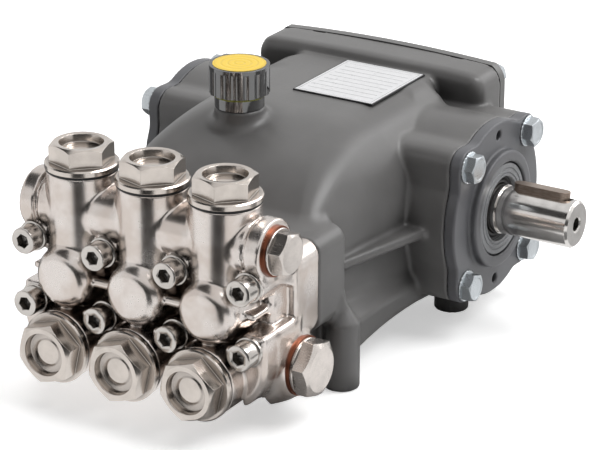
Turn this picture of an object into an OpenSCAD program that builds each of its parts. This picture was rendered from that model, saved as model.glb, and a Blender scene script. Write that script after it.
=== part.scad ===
// Three-plunger high-pressure pump.
// A cast crankcase on four feet carries a keyed drive shaft, and a forged manifold
// with three delivery and three suction valves is screwed to its front.
// X runs along the crankshaft, with the drive end at +X, and the manifold faces -Y.
// The origin is on the floor, in the middle of the four feet.
// Inside the modules, at_crank() moves the origin to the middle of the crank axis.

/* [Feet] */
// Height of the crank axis above the floor
crank_h = 60; // [58:0.5:80]
// Distance between the feet along the crankshaft
foot_pitch_x = 134; // [128:1:140]
// Distance between the front feet and the rear feet
foot_pitch_y = 111; // [104:1:116]
// Diameter of a foot
foot_d = 17.6; // [15:0.2:20]
// Tapping diameter of the hole in a foot
foot_tap_d = 6.8; // [5:0.1:9]
// Depth of the hole in a foot
foot_tap_depth = 14; // [8:0.5:18]

/* [Crankcase] */
// Distance from the crank axis forward to the manifold joint face
joint_dist = 134; // [130:0.5:140]
// Width of the front flange
flange_w = 136; // [130:1:144]
// Thickness of the front flange
flange_t = 25; // [20:0.5:30]
// Top of the front flange above the crank axis
flange_top = 23; // [20:0.5:28]
// Bottom of the front flange below the crank axis
flange_bottom = 24; // [20:0.5:30]
// Corner radius of the front flange
flange_corner_r = 7.5; // [3:0.5:12]
// Top of the hood above the crank axis
hood_top = 53; // [50:0.5:56]
// Radius of the hood's front shoulder, seen from the side
hood_shoulder_r = 106; // [98:1:112]
// Distance from the crank axis forward to where the shoulder starts
hood_shoulder_dist = 50; // [44:1:56]
// Radius of the hood's cheeks, seen from the front
cheek_r = 58; // [54:1:70]
// Height above the crank axis at which the cheeks start
cheek_start = 8; // [4:0.5:12]
// Radius of the top creases
hood_crease_r = 8; // [4:0.5:12]
// Distance from the crank axis back to the hood's rear face
hood_back = 20; // [16:0.5:22]
// Width of the neck between the hood and the rear flange
neck_w = 84; // [70:1:90]
// Width of the body at the front, at the height of the crank axis
body_front_w = 116; // [110:1:122]
// Width of the body at the bearing pads
body_rear_w = 128; // [122:1:132]
// Bottom of the sump below the crank axis
sump_bottom = 38; // [34:0.5:42]
// Depth of the rear flange, along Y
rear_flange_t = 22; // [16:0.5:28]
// Distance from the crank axis back to the front of the rear flange
rear_flange_dist = 26; // [22:0.5:30]
// Width of the rear flange
rear_flange_w = 134; // [126:1:140]
// Top of the rear flange above the crank axis, in the middle
rear_flange_top = 58; // [56:0.5:62]
// Rise of the rear flange's crowned top from its ends to its middle
rear_crown = 2.4; // [1:0.1:4]
// Bottom of the rear flange below the crank axis
rear_flange_bottom = 46; // [42:0.5:50]
// Corner radius of the rear flange
rear_corner_r = 12; // [6:0.5:18]
// Height of the side rib below the crank axis, at its middle
side_rib_drop = 7; // [3:0.5:12]
// Thickness of the side rib's edge
side_rib_t = 3.4; // [2:0.1:5]
// Rise of the side rib's sloping top over its edge, at the wall
side_rib_rise = 5; // [2:0.5:8]
// Height of the side rib over the wall
side_rib_h = 3; // [2:0.1:5]

/* [Skirt] */
// Width across the two skirts between the feet
skirt_w = 137; // [134:0.5:142]
// Thickness of a skirt
skirt_t = 7; // [5:0.5:10]
// Top of a skirt's outer face below the crank axis
skirt_top = 30.5; // [26:0.5:34]
// Bottom of the skirt's arch below the crank axis, at its middle
skirt_bottom = 42.4; // [40:0.2:44]
// Radius of the skirt's arched bottom edge
skirt_arch_r = 252; // [200:1:400]

/* [Bearing covers] */
// Distance from the middle of the pump to the seat of a bearing cover
pad_face = 85.5; // [82:0.5:90]
// Diameter of a bearing cover
cover_d = 90; // [88:0.5:92]
// Pitch circle diameter of the cover bolts
cover_pcd = 88.6; // [86:0.2:90]
// Radius of an ear round a cover bolt
ear_r = 8.8; // [8:0.1:10]
// Thickness of a bearing cover's flange
cover_t = 5.9; // [4:0.1:8]
// Diameter of the raised collar on a bearing cover
collar_d = 60; // [56:0.5:64]
// Height of the raised collar
collar_h = 4; // [2:0.1:6]
// Length of a bearing cover's spigot in its pad
spigot_len = 6; // [4:0.5:8]
// Pitch of the two jacking holes in a bearing cover
jack_pitch = 76.6; // [74:0.2:78]
// Diameter of a jacking hole
jack_d = 5; // [4:0.1:6]
// Clearance diameter of a cover bolt's hole
cover_hole_d = 9; // [8.4:0.1:10]
// Tapping diameter of a cover bolt's hole
cover_tap_d = 6.8; // [6:0.1:7.5]
// Depth of a cover bolt's tapped hole
cover_tap_depth = 18; // [12:0.5:20]

/* [Shaft] */
// Diameter of the drive shaft
shaft_d = 24; // [20:0.5:25]
// Distance from the middle of the pump to the shaft's end
shaft_end = 135.9; // [128:0.1:150]
// Diameter of the shaft's journal, in the bearing and the seal
journal_d = 25; // [25:0.5:30]
// Distance from the middle of the pump to the end of the journal
journal_end = 97.5; // [95:0.1:100]
// Chamfer at the shaft's end
shaft_chamfer = 1.2; // [0.5:0.1:2]
// Width of the groove beside the journal
shaft_groove_w = 1.6; // [1:0.1:2.5]
// Depth of the groove beside the journal
shaft_groove_depth = 0.5; // [0.2:0.1:1]
// Diameter of the shoulder behind the bearing
shoulder_d = 31; // [30:0.5:34]
// Length of the shoulder behind the bearing
shoulder_len = 8; // [5:0.5:10]
// Width of the key
key_w = 8; // [6:0.5:8]
// Length of the key
key_len = 30; // [24:0.5:34]
// Height of the key over the shaft
key_proud = 3.3; // [2.5:0.1:4]
// Depth of the keyway
key_depth = 4; // [3:0.1:4.5]
// Distance from the middle of the pump to the key's inner end
key_start = 100.5; // [99:0.1:104]
// Turn of the key from straight up, towards the rear
key_turn = 8; // [0:1:20]
// Running length of the keyway past the key
keyway_run = 2.2; // [1:0.1:3]
// Tapping diameter of the hole in the shaft's end
shaft_tap_d = 6.8; // [5:0.1:8]
// Depth of the hole in the shaft's end
shaft_tap_depth = 20; // [12:0.5:24]
// Diameter of the centring countersink in the shaft's end
shaft_centre_d = 8.6; // [8.2:0.1:10]

/* [Bearing and seal] */
// Outer diameter of the bearing
bearing_od = 62; // [58:0.5:64]
// Width of the bearing
bearing_w = 17; // [14:0.5:18]
// Diameter of the seal pocket
seal_d = 47; // [42:0.5:50]
// Depth of the seal pocket
seal_pocket = 6; // [5:0.1:7]
// Distance of the seal's face below the collar
seal_sunk = 1; // [0.4:0.1:1.8]
// Width of the seal's outer case
seal_case_w = 3; // [2:0.1:4]
// Diameter of the seal's raised dust lip
seal_lip_d = 33; // [30:0.5:36]
// Clearance round the shaft's shoulder, in its pocket
pocket_gap = 5.5; // [5:0.1:6.5]
// Clearance round the shaft inside the bearing cover
shaft_gap = 3; // [2:0.1:4]
// Clearance between the shaft's shoulder and the bearing
axial_gap = 0.3; // [0.2:0.05:0.5]
// Running clearance between a turning surface and what it turns in
running_gap = 0.05; // [0.03:0.01:0.08]

/* [Manifold] */
// Distance between the plungers along X
pitch = 40; // [39:0.5:42]
// Width of the manifold
manifold_w = 136; // [132:1:142]
// Thickness of the manifold's back plate
plate_t = 21; // [17:0.5:25]
// Top of the back plate above the crank axis
plate_top = 23; // [20:0.5:28]
// Bottom of the back plate below the crank axis
plate_bottom = 19.6; // [18:0.2:22]
// Corner radius of the back plate
plate_corner_r = 7.5; // [3:0.5:12]
// Radius of the back plate's lower edge at the joint face
plate_heel_r = 6; // [2:0.5:10]
// Distance from the joint face forward to the chamber domes
dome_reach = 58; // [56:0.5:62]
// Radius of a chamber dome
dome_r = 14; // [13:0.1:15]
// Edge radius of a chamber dome
dome_edge_r = 3.8; // [2:0.1:5]
// Radius of a plunger chamber
chamber_r = 17; // [16:0.1:18]
// Distance from the joint face forward to the front of the chambers
chamber_reach = 46; // [42:0.5:50]
// Height of the screws above and below the crank axis
screw_rise = 16; // [15:0.1:17]
// Distance of the outer screws from the manifold's ends
screw_edge = 8; // [7.5:0.5:9]
// Distance from the joint face forward to the screws' seats
screw_reach = 48.4; // [46:0.2:50]
// Radius of a screw boss
screw_boss_r = 7; // [6.6:0.1:7.1]
// Clearance diameter of a manifold screw's hole
screw_hole_d = 9; // [8.4:0.1:10]
// Tapping diameter of a manifold screw's hole in the crankcase
screw_tap_d = 6.8; // [6:0.1:7.5]
// Depth of a manifold screw's tapped hole
screw_tap_depth = 18; // [12:0.5:20]
// Height of the upper deck over its underside
deck_t = 13; // [10:0.5:15]
// Underside of the upper deck above the crank axis
deck_under = 7.6; // [7:0.1:9]
// Depth of the windows in the manifold's sides
window_depth = 4.5; // [3:0.5:8]
// Distance from the joint face forward to the front of the wall inside a window
window_reach = 34.4; // [30:0.2:38]
// Thickness of the rib that runs forward from that wall
window_rib_t = 3; // [2:0.2:4]
// Diameter of the cross rib between two domes
cross_rib_d = 5; // [4:0.1:6]
// Distance from the joint face forward to the cross ribs
cross_rib_reach = 49.5; // [48:0.5:51]

/* [Delivery side] */
// Distance from the joint face forward to the delivery valves' axes
chest_reach = 36.5; // [35:0.5:39]
// Radius of a delivery chest
chest_r = 17.1; // [16.5:0.1:17.5]
// Top of a delivery chest above the crank axis
chest_top = 50.2; // [48:0.2:54]
// Height of the delivery gallery above the crank axis
delivery_rise = 31; // [29:0.5:33]
// Radius of the delivery gallery
delivery_r = 11; // [10.5:0.1:12]
// Radius of the collars at the delivery gallery's ends
delivery_collar_r = 15; // [14:0.1:16]
// Length of the collars at the delivery gallery's ends
delivery_collar_len = 8; // [6:0.5:10]
// Set-back of the delivery gallery's ends from the manifold's sides
delivery_setback = 1.5; // [0:0.1:3]
// Radius of the delivery port's tapped hole
delivery_port_r = 7.5; // [7:0.1:8]
// Depth of the delivery port's tapped hole
delivery_port_depth = 13; // [10:0.5:15]
// Radius of the delivery gallery's inner bore
delivery_bore_r = 5; // [4:0.1:6]
// Width across flats of the delivery plug
delivery_plug_af = 22; // [20:0.5:24]
// Height of the delivery plug's hexagon
delivery_plug_h = 8.2; // [6:0.1:10]

/* [Suction side] */
// Depth of the suction valves' axes below the crank axis
suction_drop = 32.7; // [32:0.1:33.5]
// Radius of a suction chest
suction_chest_r = 17.4; // [17:0.1:17.8]
// Distance from the joint face forward to the suction chests' faces
suction_reach = 58.6; // [57:0.2:61]
// Distance from the joint face forward to the front of the suction block
block_reach = 38; // [34:0.5:44]
// Distance from the joint face forward to the front of the upper deck
deck_reach = 44; // [40:0.5:48]
// Radius of the suction block's lower corners
block_corner_r = 24; // [18:0.5:28]
// Distance from the joint face forward to the suction gallery's axis
gallery_reach = 17.3; // [16.8:0.1:18.5]
// Radius of the suction gallery
gallery_r = 16; // [15:0.1:16.4]
// Top of the side wings below the crank axis
wing_top = 8.4; // [8:0.1:9]
// Width of a side wing
wing_w = 13; // [11:0.5:16]
// Height of the suction gallery's end faces over the manifold's sides
suction_boss_h = 1; // [0.4:0.2:3]
// Radius of the faces at the suction gallery's ends
suction_face_r = 14.6; // [14:0.1:15.4]
// Radius of the suction port's tapped hole
suction_port_r = 9.3; // [9:0.1:10]
// Depth of the suction port's tapped hole
suction_port_depth = 15; // [12:0.5:17]
// Radius of the suction gallery's inner bore
suction_bore_r = 8; // [7:0.1:8.5]
// Width across flats of the suction plug
suction_plug_af = 27; // [25:0.5:28]
// Height of the suction plug's hexagon
suction_plug_h = 9.6; // [8:0.1:12]

/* [Valve caps] */
// Diameter of a valve cap's flange
cap_flange_d = 35.4; // [34:0.1:36]
// Thickness of a valve cap's flange
cap_flange_t = 3.3; // [2.5:0.1:4]
// Width across flats of a valve cap's hexagon
cap_af = 27; // [26:0.5:30]
// Height of a valve cap's hexagon
cap_hex_h = 9; // [8:0.1:11]
// Corner chamfer of a valve cap's hexagon
cap_chamfer = 1; // [0.4:0.1:1.6]
// Diameter of the recess in a valve cap
cap_recess_d = 22; // [20:0.1:23]
// Depth of the recess in a valve cap
cap_recess_depth = 4.2; // [3:0.1:5]
// Diameter of the button in the recess
cap_button_d = 13; // [10:0.1:15]
// Rise of the button in the recess
cap_button_h = 0.7; // [0.4:0.1:1.2]
// Diameter of a valve cap's thread
cap_thread_d = 26; // [24:0.1:27]
// Length of a valve cap's thread
cap_thread_len = 10; // [8:0.5:11]
// Radial gap between a thread and its hole
thread_gap = 0.15; // [0.1:0.05:0.3]
// Thickness of a valve cap's seal
cap_seal_t = 0.9; // [0.6:0.1:1.4]
// Turn of the delivery caps' hexagons
delivery_cap_turn = 30; // [0:1:60]
// Turn of the suction caps' hexagons
suction_cap_turn = 47; // [0:1:60]
// Thickness of a plug's copper washer
washer_t = 1.5; // [1:0.1:2]
// Radial width by which a plug's washer shows round the hexagon's flats
washer_rim = 1; // [0.6:0.1:1.5]

/* [Rear cover] */
// Thickness of the rear cover
rear_cover_t = 5; // [4:0.1:6]
// Clearance diameter of a rear cover bolt's hole
rear_hole_d = 6.6; // [6.2:0.1:7]
// Tapping diameter of a rear cover bolt's hole
rear_tap_d = 5; // [4.6:0.1:5.4]
// Depth of a rear cover bolt's tapped hole
rear_tap_depth = 14; // [10:0.5:16]
// Distance of the rear cover bolts from the flange's edges
rear_bolt_edge = 7; // [6.5:0.1:8.5]
// Diameter of the sight glass
sight_d = 28; // [24:0.5:32]
// Radial wall of the boss round the sight glass
sight_wall = 3; // [2:0.5:5]
// Radial width of the sight glass's ring
sight_ring_w = 4; // [3:0.5:6]
// Height of the sight glass's ring over its boss
sight_ring_proud = 1; // [0.5:0.1:2]
// Distance of the lens below its boss's face
sight_lens_sunk = 1.5; // [0.5:0.1:3]
// Height of the sight glass above the crank axis
sight_rise = 2; // [0:0.5:8]
// Radial wall of the boss round the drain plug's hexagon
drain_wall = 2; // [1.5:0.5:4]
// Radius of the drain plug's thread
drain_r = 6.8; // [6:0.1:8]
// Height of the drain plug below the crank axis
drain_drop = 30; // [26:0.5:34]
// Width across flats of the drain plug
drain_af = 17; // [15:0.5:19]

/* [Oil filler] */
// Distance of the oil filler from the middle of the pump, towards the closed end
filler_x = 14.5; // [0:0.5:20]
// Distance of the oil filler forward of the crank axis
filler_dist = 73; // [66:0.5:78]
// Diameter of the filler boss
filler_boss_d = 25.2; // [24:0.2:28]
// Spread of the filler boss at its foot, on the radius
filler_boss_spread = 4; // [2:0.5:6]
// Top of the filler boss above the crank axis
filler_boss_top = 56.8; // [55:0.2:60]
// Diameter of the filler cap
filler_cap_d = 30; // [28:0.2:32]
// Height of the filler cap's grip
filler_cap_h = 14.4; // [12:0.2:18]
// Number of flutes round the filler cap
filler_flutes = 16; // [12:2:24]
// Radius of a flute's cutter
filler_flute_r = 2.2; // [1.5:0.1:3]
// Depth of a flute in the filler cap
filler_flute_depth = 0.6; // [0.3:0.1:1.2]
// Height of the filler cap's plain rim over the flutes
filler_rim_h = 2; // [1:0.5:4]
// Depth of the seat for the filler cap's disc
filler_disc_seat = 1; // [0.6:0.1:1.5]
// Height of the filler cap's disc over the rim
filler_disc_proud = 0.2; // [0.1:0.1:0.6]
// Diameter of the filler cap's disc
filler_disc_d = 26.4; // [24:0.2:27]
// Height of the filler cap's neck
filler_neck_h = 5.8; // [4:0.2:8]
// Diameter of the filler cap's neck
filler_neck_d = 24.6; // [23:0.2:25]
// Diameter of the filler cap's seal ring
filler_seal_d = 26.2; // [25.4:0.2:28]
// Diameter of the filler cap's core, inside the seal ring
filler_core_d = 21; // [18:0.5:22]
// Thickness of the filler cap's seal ring
filler_seal_t = 1.3; // [1:0.1:1.6]
// Radius of the filler's thread
filler_thread_r = 9; // [8:0.1:10]
// Length of the filler's thread
filler_thread_len = 12; // [8:0.5:14]

/* [Nameplate] */
// Size of the nameplate along X
plate_len_x = 46; // [40:0.5:52]
// Size of the nameplate along Y
plate_len_y = 54; // [46:0.5:56]
// Distance of the nameplate's middle from the middle of the pump
nameplate_x = 13.5; // [8:0.5:15]
// Distance of the nameplate's middle forward of the crank axis
nameplate_dist = 4; // [2:0.5:8]
// Thickness of the nameplate
nameplate_t = 0.8; // [0.5:0.1:1.2]

/* [Hidden] */
$fn = 64;
// Flats that make the cheek's arc, which keeps its meeting with the hood's shoulder exact
cheek_facets = 8;
// The crease arc starts this far inside the cheek's arc, so that they cross instead of touching
crease_inset = hood_crease_r / 16;
// Flat stretch that leads from the cheek's arc into the crease
crease_lead = hood_crease_r * 3 / 4;
// Overrun of a cutter past the face that it opens
over = 1;
valves = [-1, 0, 1];
screw_columns = [screw_edge - manifold_w / 2, -pitch / 2, pitch / 2, manifold_w / 2 - screw_edge];
crank_y = foot_pitch_y / 2;
cover_face = pad_face + cover_t;
collar_face = cover_face + collar_h;
cover_r = cover_d / 2;
bearing_start = pad_face - bearing_w - spigot_len;
hex_ratio = cos(30);
chest_y = -(joint_dist + chest_reach);
gallery_y = -(joint_dist + gallery_reach);
rear_face = rear_flange_dist + rear_flange_t;
delivery_end = manifold_w / 2 - delivery_setback;
suction_end = manifold_w / 2 + suction_boss_h;

// Moves the origin from the floor to the middle of the crank axis
module at_crank() {
    translate([0, crank_y, crank_h]) children();
}

// A profile drawn in Y and Z, extruded along X
module along_x(x0, x1) {
    translate([x0, 0, 0]) rotate([90, 0, 90]) linear_extrude(x1 - x0) children();
}

// A profile drawn in X and Z, extruded along Y
module along_y(y0, y1) {
    translate([0, y1, 0]) rotate([90, 0, 0]) linear_extrude(y1 - y0) children();
}

module x_rod(x0, x1, r) {
    translate([x0, 0, 0]) rotate([0, 90, 0]) cylinder(r = r, h = x1 - x0);
}

module y_rod(y0, y1, r) {
    translate([0, y1, 0]) rotate([90, 0, 0]) cylinder(r = r, h = y1 - y0);
}

// Turns what is drawn upwards from the floor so that it faces the front
module face_front(y) {
    translate([0, y, 0]) rotate([90, 0, 0]) children();
}

module face_right(x) {
    translate([x, 0, 0]) rotate([0, 90, 0]) children();
}

// A rectangle from its limits, with round corners
module round_box(x0, x1, y0, y1, r) {
    translate([x0 + r, y0]) square([x1 - x0 - 2 * r, y1 - y0]);
    translate([x0, y0 + r]) square([x1 - x0, y1 - y0 - 2 * r]);
    for (x = [x0 + r, x1 - r], y = [y0 + r, y1 - r]) translate([x, y]) circle(r = r);
}

// Places the four bolts of a bearing cover, in the plane of the cover
module cover_bolts() {
    for (turn = [45 : 90 : 315]) rotate(turn) translate([cover_pcd / 2, 0]) children();
}

// The outline that a bearing cover shares with its pad
module cover_outline() {
    circle(r = cover_r);
    cover_bolts() circle(r = ear_r);
}

// Places the eight manifold screws, looking along Y
module manifold_screws(y) {
    for (column = screw_columns, side = [-1, 1])
        translate([column, y, side * screw_rise]) children();
}

// The hood seen from the side
module hood_side() {
    shoulder_z = hood_top - hood_shoulder_r;
    intersection() {
        translate([-hood_shoulder_dist, shoulder_z]) circle(r = hood_shoulder_r);
        translate([-joint_dist, -sump_bottom])
            square([joint_dist - hood_shoulder_dist, hood_top + sump_bottom + over]);
    }
    translate([-hood_shoulder_dist, -sump_bottom])
        square([hood_shoulder_dist + rear_flange_dist + over, hood_top + sump_bottom]);
}

// The body seen from the front, with arched cheeks and rounded creases
module body_front() {
    foot = body_rear_w / 2;
    centre_x = foot - cheek_r;
    rise = hood_top - cheek_start;
    crease_x = centre_x + sqrt(pow(cheek_r - hood_crease_r, 2) - pow(rise - hood_crease_r, 2));
    reach = (cheek_r - crease_inset) / (cheek_r - hood_crease_r);
    lead = [centre_x + reach * (crease_x - centre_x), cheek_start + reach * (rise - hood_crease_r)];
    arc_top = lead[1] - cheek_start - crease_lead;
    end = [centre_x + sqrt(pow(cheek_r, 2) - pow(arc_top, 2)), cheek_start + arc_top];
    translate([-foot, -sump_bottom]) square([2 * foot, cheek_start + sump_bottom]);
    turn = asin(arc_top / cheek_r) / cheek_facets;
    for (side = [0, 1]) mirror([side, 0])
        polygon([[0, cheek_start], for (facet = [0 : cheek_facets])
                 [centre_x + cheek_r * cos(turn * facet), cheek_start + cheek_r * sin(turn * facet)],
                 [0, cheek_start + arc_top]]);
    polygon([[-crease_x, hood_top], [crease_x, hood_top], lead, end,
             [-end[0], end[1]], [-lead[0], lead[1]]]);
    for (side = [-1, 1]) translate([side * crease_x, hood_top - hood_crease_r]) circle(r = hood_crease_r);
}

// The body seen from above: it flares from the front flange to the bearing pads,
// and narrows to a neck before the rear flange
module body_plan(grow = 0) {
    front = body_front_w / 2 + grow;
    rear = body_rear_w / 2 + grow;
    rib_start = -(joint_dist - flange_t);
    pad_start = -cover_r;
    polygon([[-front, -joint_dist], [front, -joint_dist], [front, rib_start], [rear, pad_start], [rear, hood_back],
             [-rear, hood_back], [-rear, pad_start], [-front, rib_start]]);
    translate([-neck_w / 2, 0]) square([neck_w, rear_flange_dist + over]);
}

module body() {
    intersection() {
        along_x(-body_rear_w / 2, body_rear_w / 2) hood_side();
        along_y(-joint_dist, rear_flange_dist + over) body_front();
        translate([0, 0, -sump_bottom]) linear_extrude(hood_top + sump_bottom + over) body_plan();
    }
}

// A ledge along each side, with a sloping top and a plain edge
module side_ribs() {
    reach = joint_dist - flange_t;
    edge = -side_rib_drop + side_rib_t / 2;
    for (level = [0, 1]) {
        out = side_rib_h * (1 - level / 2);
        translate([0, 0, edge - side_rib_t]) linear_extrude(side_rib_t + level * side_rib_rise / 2)
            intersection() {
                body_plan(out);
                translate([-foot_pitch_x, -reach]) square([2 * foot_pitch_x, reach - cover_r / 2]);
            }
    }
}

module front_flange() {
    along_y(-joint_dist, -(joint_dist - flange_t))
        round_box(-flange_w / 2, flange_w / 2, -flange_bottom, flange_top, flange_corner_r);
}

// The crowned outline that the rear flange shares with its cover
module rear_outline() {
    half = rear_flange_w / 2;
    crown_r = (half * half + rear_crown * rear_crown) / (2 * rear_crown);
    intersection() {
        round_box(-half, half, -rear_flange_bottom, rear_flange_top, rear_corner_r);
        translate([0, rear_flange_top - crown_r]) circle(r = crown_r, $fn = 256);
    }
}

// Places the bolts of the rear cover, looking along Y
module rear_bolts() {
    x = rear_flange_w / 2 - rear_bolt_edge;
    top = rear_flange_top - rear_crown - rear_bolt_edge;
    bottom = -rear_flange_bottom + rear_bolt_edge;
    for (side = [-1, 1], z = [bottom, (top + bottom) / 2, top]) translate([side * x, z]) children();
    for (z = [bottom, top]) translate([0, z]) children();
}

module bearing_pads() {
    wall = body_rear_w / 2 - skirt_t;
    for (side = [0, 1]) mirror([side, 0, 0]) along_x(wall, pad_face) cover_outline();
}

module feet() {
    for (x = [-1, 1], y = [0, 1])
        translate([x * foot_pitch_x / 2, -y * foot_pitch_y, -crank_h])
            cylinder(d = foot_d, h = crank_h - flange_bottom);
    for (x = [-1, 1], y = [0, 1])
        translate([x * foot_pitch_x / 2, -y * foot_pitch_y, -flange_bottom])
            cylinder(d1 = foot_d, d2 = foot_d / 2, h = flange_corner_r);
}

// The arched rail that joins a front foot to a rear foot
module skirts() {
    outer = skirt_w / 2;
    inner = outer - skirt_t;
    wall = min(inner, body_front_w / 2) - over;
    for (side = [0, 1]) mirror([side, 0, 0]) difference() {
        along_y(-foot_pitch_y, 0)
            polygon([[inner, -crank_h], [outer, -crank_h], [outer, -skirt_top],
                     [wall, outer - wall - skirt_top], [wall, -sump_bottom], [inner, -sump_bottom]]);
        translate([0, -foot_pitch_y / 2, -skirt_bottom - skirt_arch_r])
            x_rod(inner - over, outer + over, skirt_arch_r, $fn = 256);
    }
}

module filler_boss() {
    translate([-filler_x, -filler_dist, 0]) {
        cylinder(d = filler_boss_d, h = filler_boss_top);
        translate([0, 0, filler_boss_top - 4 * filler_boss_spread])
            cylinder(d1 = filler_boss_d + 4 * filler_boss_spread, d2 = filler_boss_d, h = 2 * filler_boss_spread);
    }
}

module crankcase() color("dimgray") at_crank() difference() {
    union() {
        body();
        side_ribs();
        front_flange();
        along_y(rear_flange_dist, rear_face) rear_outline();
        bearing_pads();
        feet();
        skirts();
        filler_boss();
    }
    x_rod(bearing_start, pad_face + over, bearing_od / 2);
    x_rod(bearing_start - shoulder_len - pocket_gap, bearing_start + over, shoulder_d / 2 + pocket_gap);
    mirror([1, 0, 0]) x_rod(pad_face - spigot_len, pad_face + over, bearing_od / 2);
    for (side = [0, 1]) mirror([side, 0, 0])
        translate([pad_face - cover_tap_depth, 0, 0]) rotate([90, 0, 90])
            cover_bolts() cylinder(d = cover_tap_d, h = cover_tap_depth + over);
    manifold_screws(-joint_dist - over) rotate([-90, 0, 0])
        cylinder(d = screw_tap_d, h = screw_tap_depth + over);
    face_front(rear_face + over) rear_bolts() cylinder(d = rear_tap_d, h = rear_tap_depth + over);
    for (x = [-1, 1], y = [0, 1])
        translate([x * foot_pitch_x / 2, -y * foot_pitch_y, -crank_h - over])
            cylinder(d = foot_tap_d, h = foot_tap_depth + over);
    translate([-filler_x, -filler_dist, filler_boss_top - filler_thread_len - over])
        cylinder(r = filler_thread_r + thread_gap, h = filler_thread_len + 2 * over);
}

module rear_cover() color("dimgray") at_crank() difference() {
    union() {
        along_y(rear_face, rear_face + rear_cover_t) rear_outline();
        translate([0, 0, sight_rise]) y_rod(rear_face, rear_face + 2 * rear_cover_t, sight_d / 2 + sight_wall);
        translate([0, 0, -drain_drop]) y_rod(rear_face, rear_face + 2 * rear_cover_t, drain_af / 2 + drain_wall);
    }
    face_front(rear_face + rear_cover_t + over) rear_bolts() cylinder(d = rear_hole_d, h = rear_cover_t + 2 * over);
    translate([0, 0, sight_rise]) y_rod(rear_face + rear_cover_t, rear_face + 2 * rear_cover_t + over, sight_d / 2);
    translate([0, 0, -drain_drop]) y_rod(rear_face - over, rear_face + 2 * rear_cover_t + over, drain_r + thread_gap);
}

module sight_glass_ring() color("silver") at_crank() translate([0, 0, sight_rise]) difference() {
    y_rod(rear_face + rear_cover_t, rear_face + 2 * rear_cover_t + sight_ring_proud, sight_d / 2 - thread_gap);
    y_rod(rear_face + rear_cover_t - over, rear_face + 2 * rear_cover_t + sight_ring_proud + over,
          sight_d / 2 - sight_ring_w);
}

module sight_glass_lens() color("lightyellow") at_crank() translate([0, 0, sight_rise])
    y_rod(rear_face + rear_cover_t, rear_face + 2 * rear_cover_t - sight_lens_sunk, sight_d / 2 - sight_ring_w);

module drain_plug_washer() color("peru") at_crank() translate([0, 0, -drain_drop]) difference() {
    y_rod(rear_face + 2 * rear_cover_t, rear_face + 2 * rear_cover_t + washer_t, drain_af / 2 + washer_rim);
    y_rod(rear_face + 2 * rear_cover_t - over, rear_face + 2 * rear_cover_t + washer_t + over, drain_r + thread_gap);
}

module drain_plug() color("silver") at_crank() translate([0, rear_face + 2 * rear_cover_t + washer_t, -drain_drop])
    rotate([-90, 0, 0]) {
        chamfered_hex(drain_af, drain_r, cap_chamfer);
        translate([0, 0, -2 * rear_cover_t - washer_t]) cylinder(r = drain_r, h = 2 * rear_cover_t + washer_t + over);
    }

// A hexagon with its outer corners chamfered, standing on the floor
module chamfered_hex(af, h, chamfer) {
    corner_r = af / 2 / hex_ratio;
    intersection() {
        cylinder(r = corner_r, h = h, $fn = 6);
        rotate_extrude()
            polygon([[0, 0], [corner_r + over, 0], [corner_r + over, h - chamfer - over * tan(30)],
                     [af / 2, h + (corner_r - af / 2) * tan(30) - chamfer], [af / 2 - chamfer, h], [0, h]]);
    }
}

module bearing_cover_plain() {
    along_x(pad_face, cover_face) difference() {
        cover_outline();
        cover_bolts() circle(d = cover_hole_d);
        for (side = [-1, 1]) translate([0, side * jack_pitch / 2]) circle(d = jack_d);
    }
    x_rod(cover_face - over, collar_face, collar_d / 2);
    x_rod(pad_face - spigot_len, pad_face + over, bearing_od / 2 - thread_gap);
}

module bearing_cover_right() color("dimgray") at_crank() difference() {
    bearing_cover_plain();
    x_rod(collar_face - seal_pocket, collar_face + over, seal_d / 2);
    x_rod(pad_face - spigot_len - over, collar_face, journal_d / 2 + shaft_gap);
}

module bearing_cover_left() color("dimgray") at_crank() mirror([1, 0, 0]) bearing_cover_plain();

module drive_end_bearing() color("silver") at_crank() difference() {
    x_rod(bearing_start, bearing_start + bearing_w, bearing_od / 2);
    x_rod(bearing_start - over, bearing_start + bearing_w + over, journal_d / 2 + running_gap);
}

module shaft_oil_seal() color("gray") at_crank() {
    inner_r = journal_d / 2 + running_gap;
    base = collar_face - seal_pocket;
    face = collar_face - seal_sunk;
    face_right(base) rotate_extrude()
        polygon([[inner_r, 0], [seal_d / 2, 0], [seal_d / 2, face - base],
                 [seal_d / 2 - seal_case_w, face - base],
                 [seal_d / 2 - seal_case_w, face - base - seal_sunk],
                 [seal_lip_d / 2, face - base - seal_sunk],
                 [inner_r + seal_sunk, face - base],
                 [inner_r, face - base]]);
}

module key_blank(x0, x1, z0, z1) {
    rotate([-key_turn, 0, 0]) translate([0, 0, z0]) linear_extrude(z1 - z0) {
        translate([x0 + key_w / 2, 0]) circle(d = key_w);
        translate([x0 + key_w / 2, -key_w / 2]) square([x1 - x0 - key_w, key_w]);
        translate([x1 - key_w / 2, 0]) circle(d = key_w);
    }
}

module crankshaft() color("silver") at_crank() difference() {
    union() {
        x_rod(bearing_start - shoulder_len, bearing_start - axial_gap, shoulder_d / 2);
        x_rod(bearing_start - over, journal_end - shaft_groove_w, journal_d / 2);
        x_rod(journal_end - shaft_groove_w - over, journal_end + over, shaft_d / 2 - shaft_groove_depth);
        x_rod(journal_end, shaft_end - shaft_chamfer, shaft_d / 2);
        face_right(shaft_end - shaft_chamfer)
            cylinder(r1 = shaft_d / 2, r2 = shaft_d / 2 - shaft_chamfer, h = shaft_chamfer);
    }
    key_blank(key_start, key_start + key_len + keyway_run, shaft_d / 2 - key_depth, shaft_d);
    x_rod(shaft_end - shaft_tap_depth, shaft_end + over, shaft_tap_d / 2);
    face_right(shaft_end - shaft_centre_d / 4)
        cylinder(r1 = 0, r2 = shaft_centre_d / 2 + 2 * over, h = shaft_centre_d / 4 + over);
}

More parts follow.
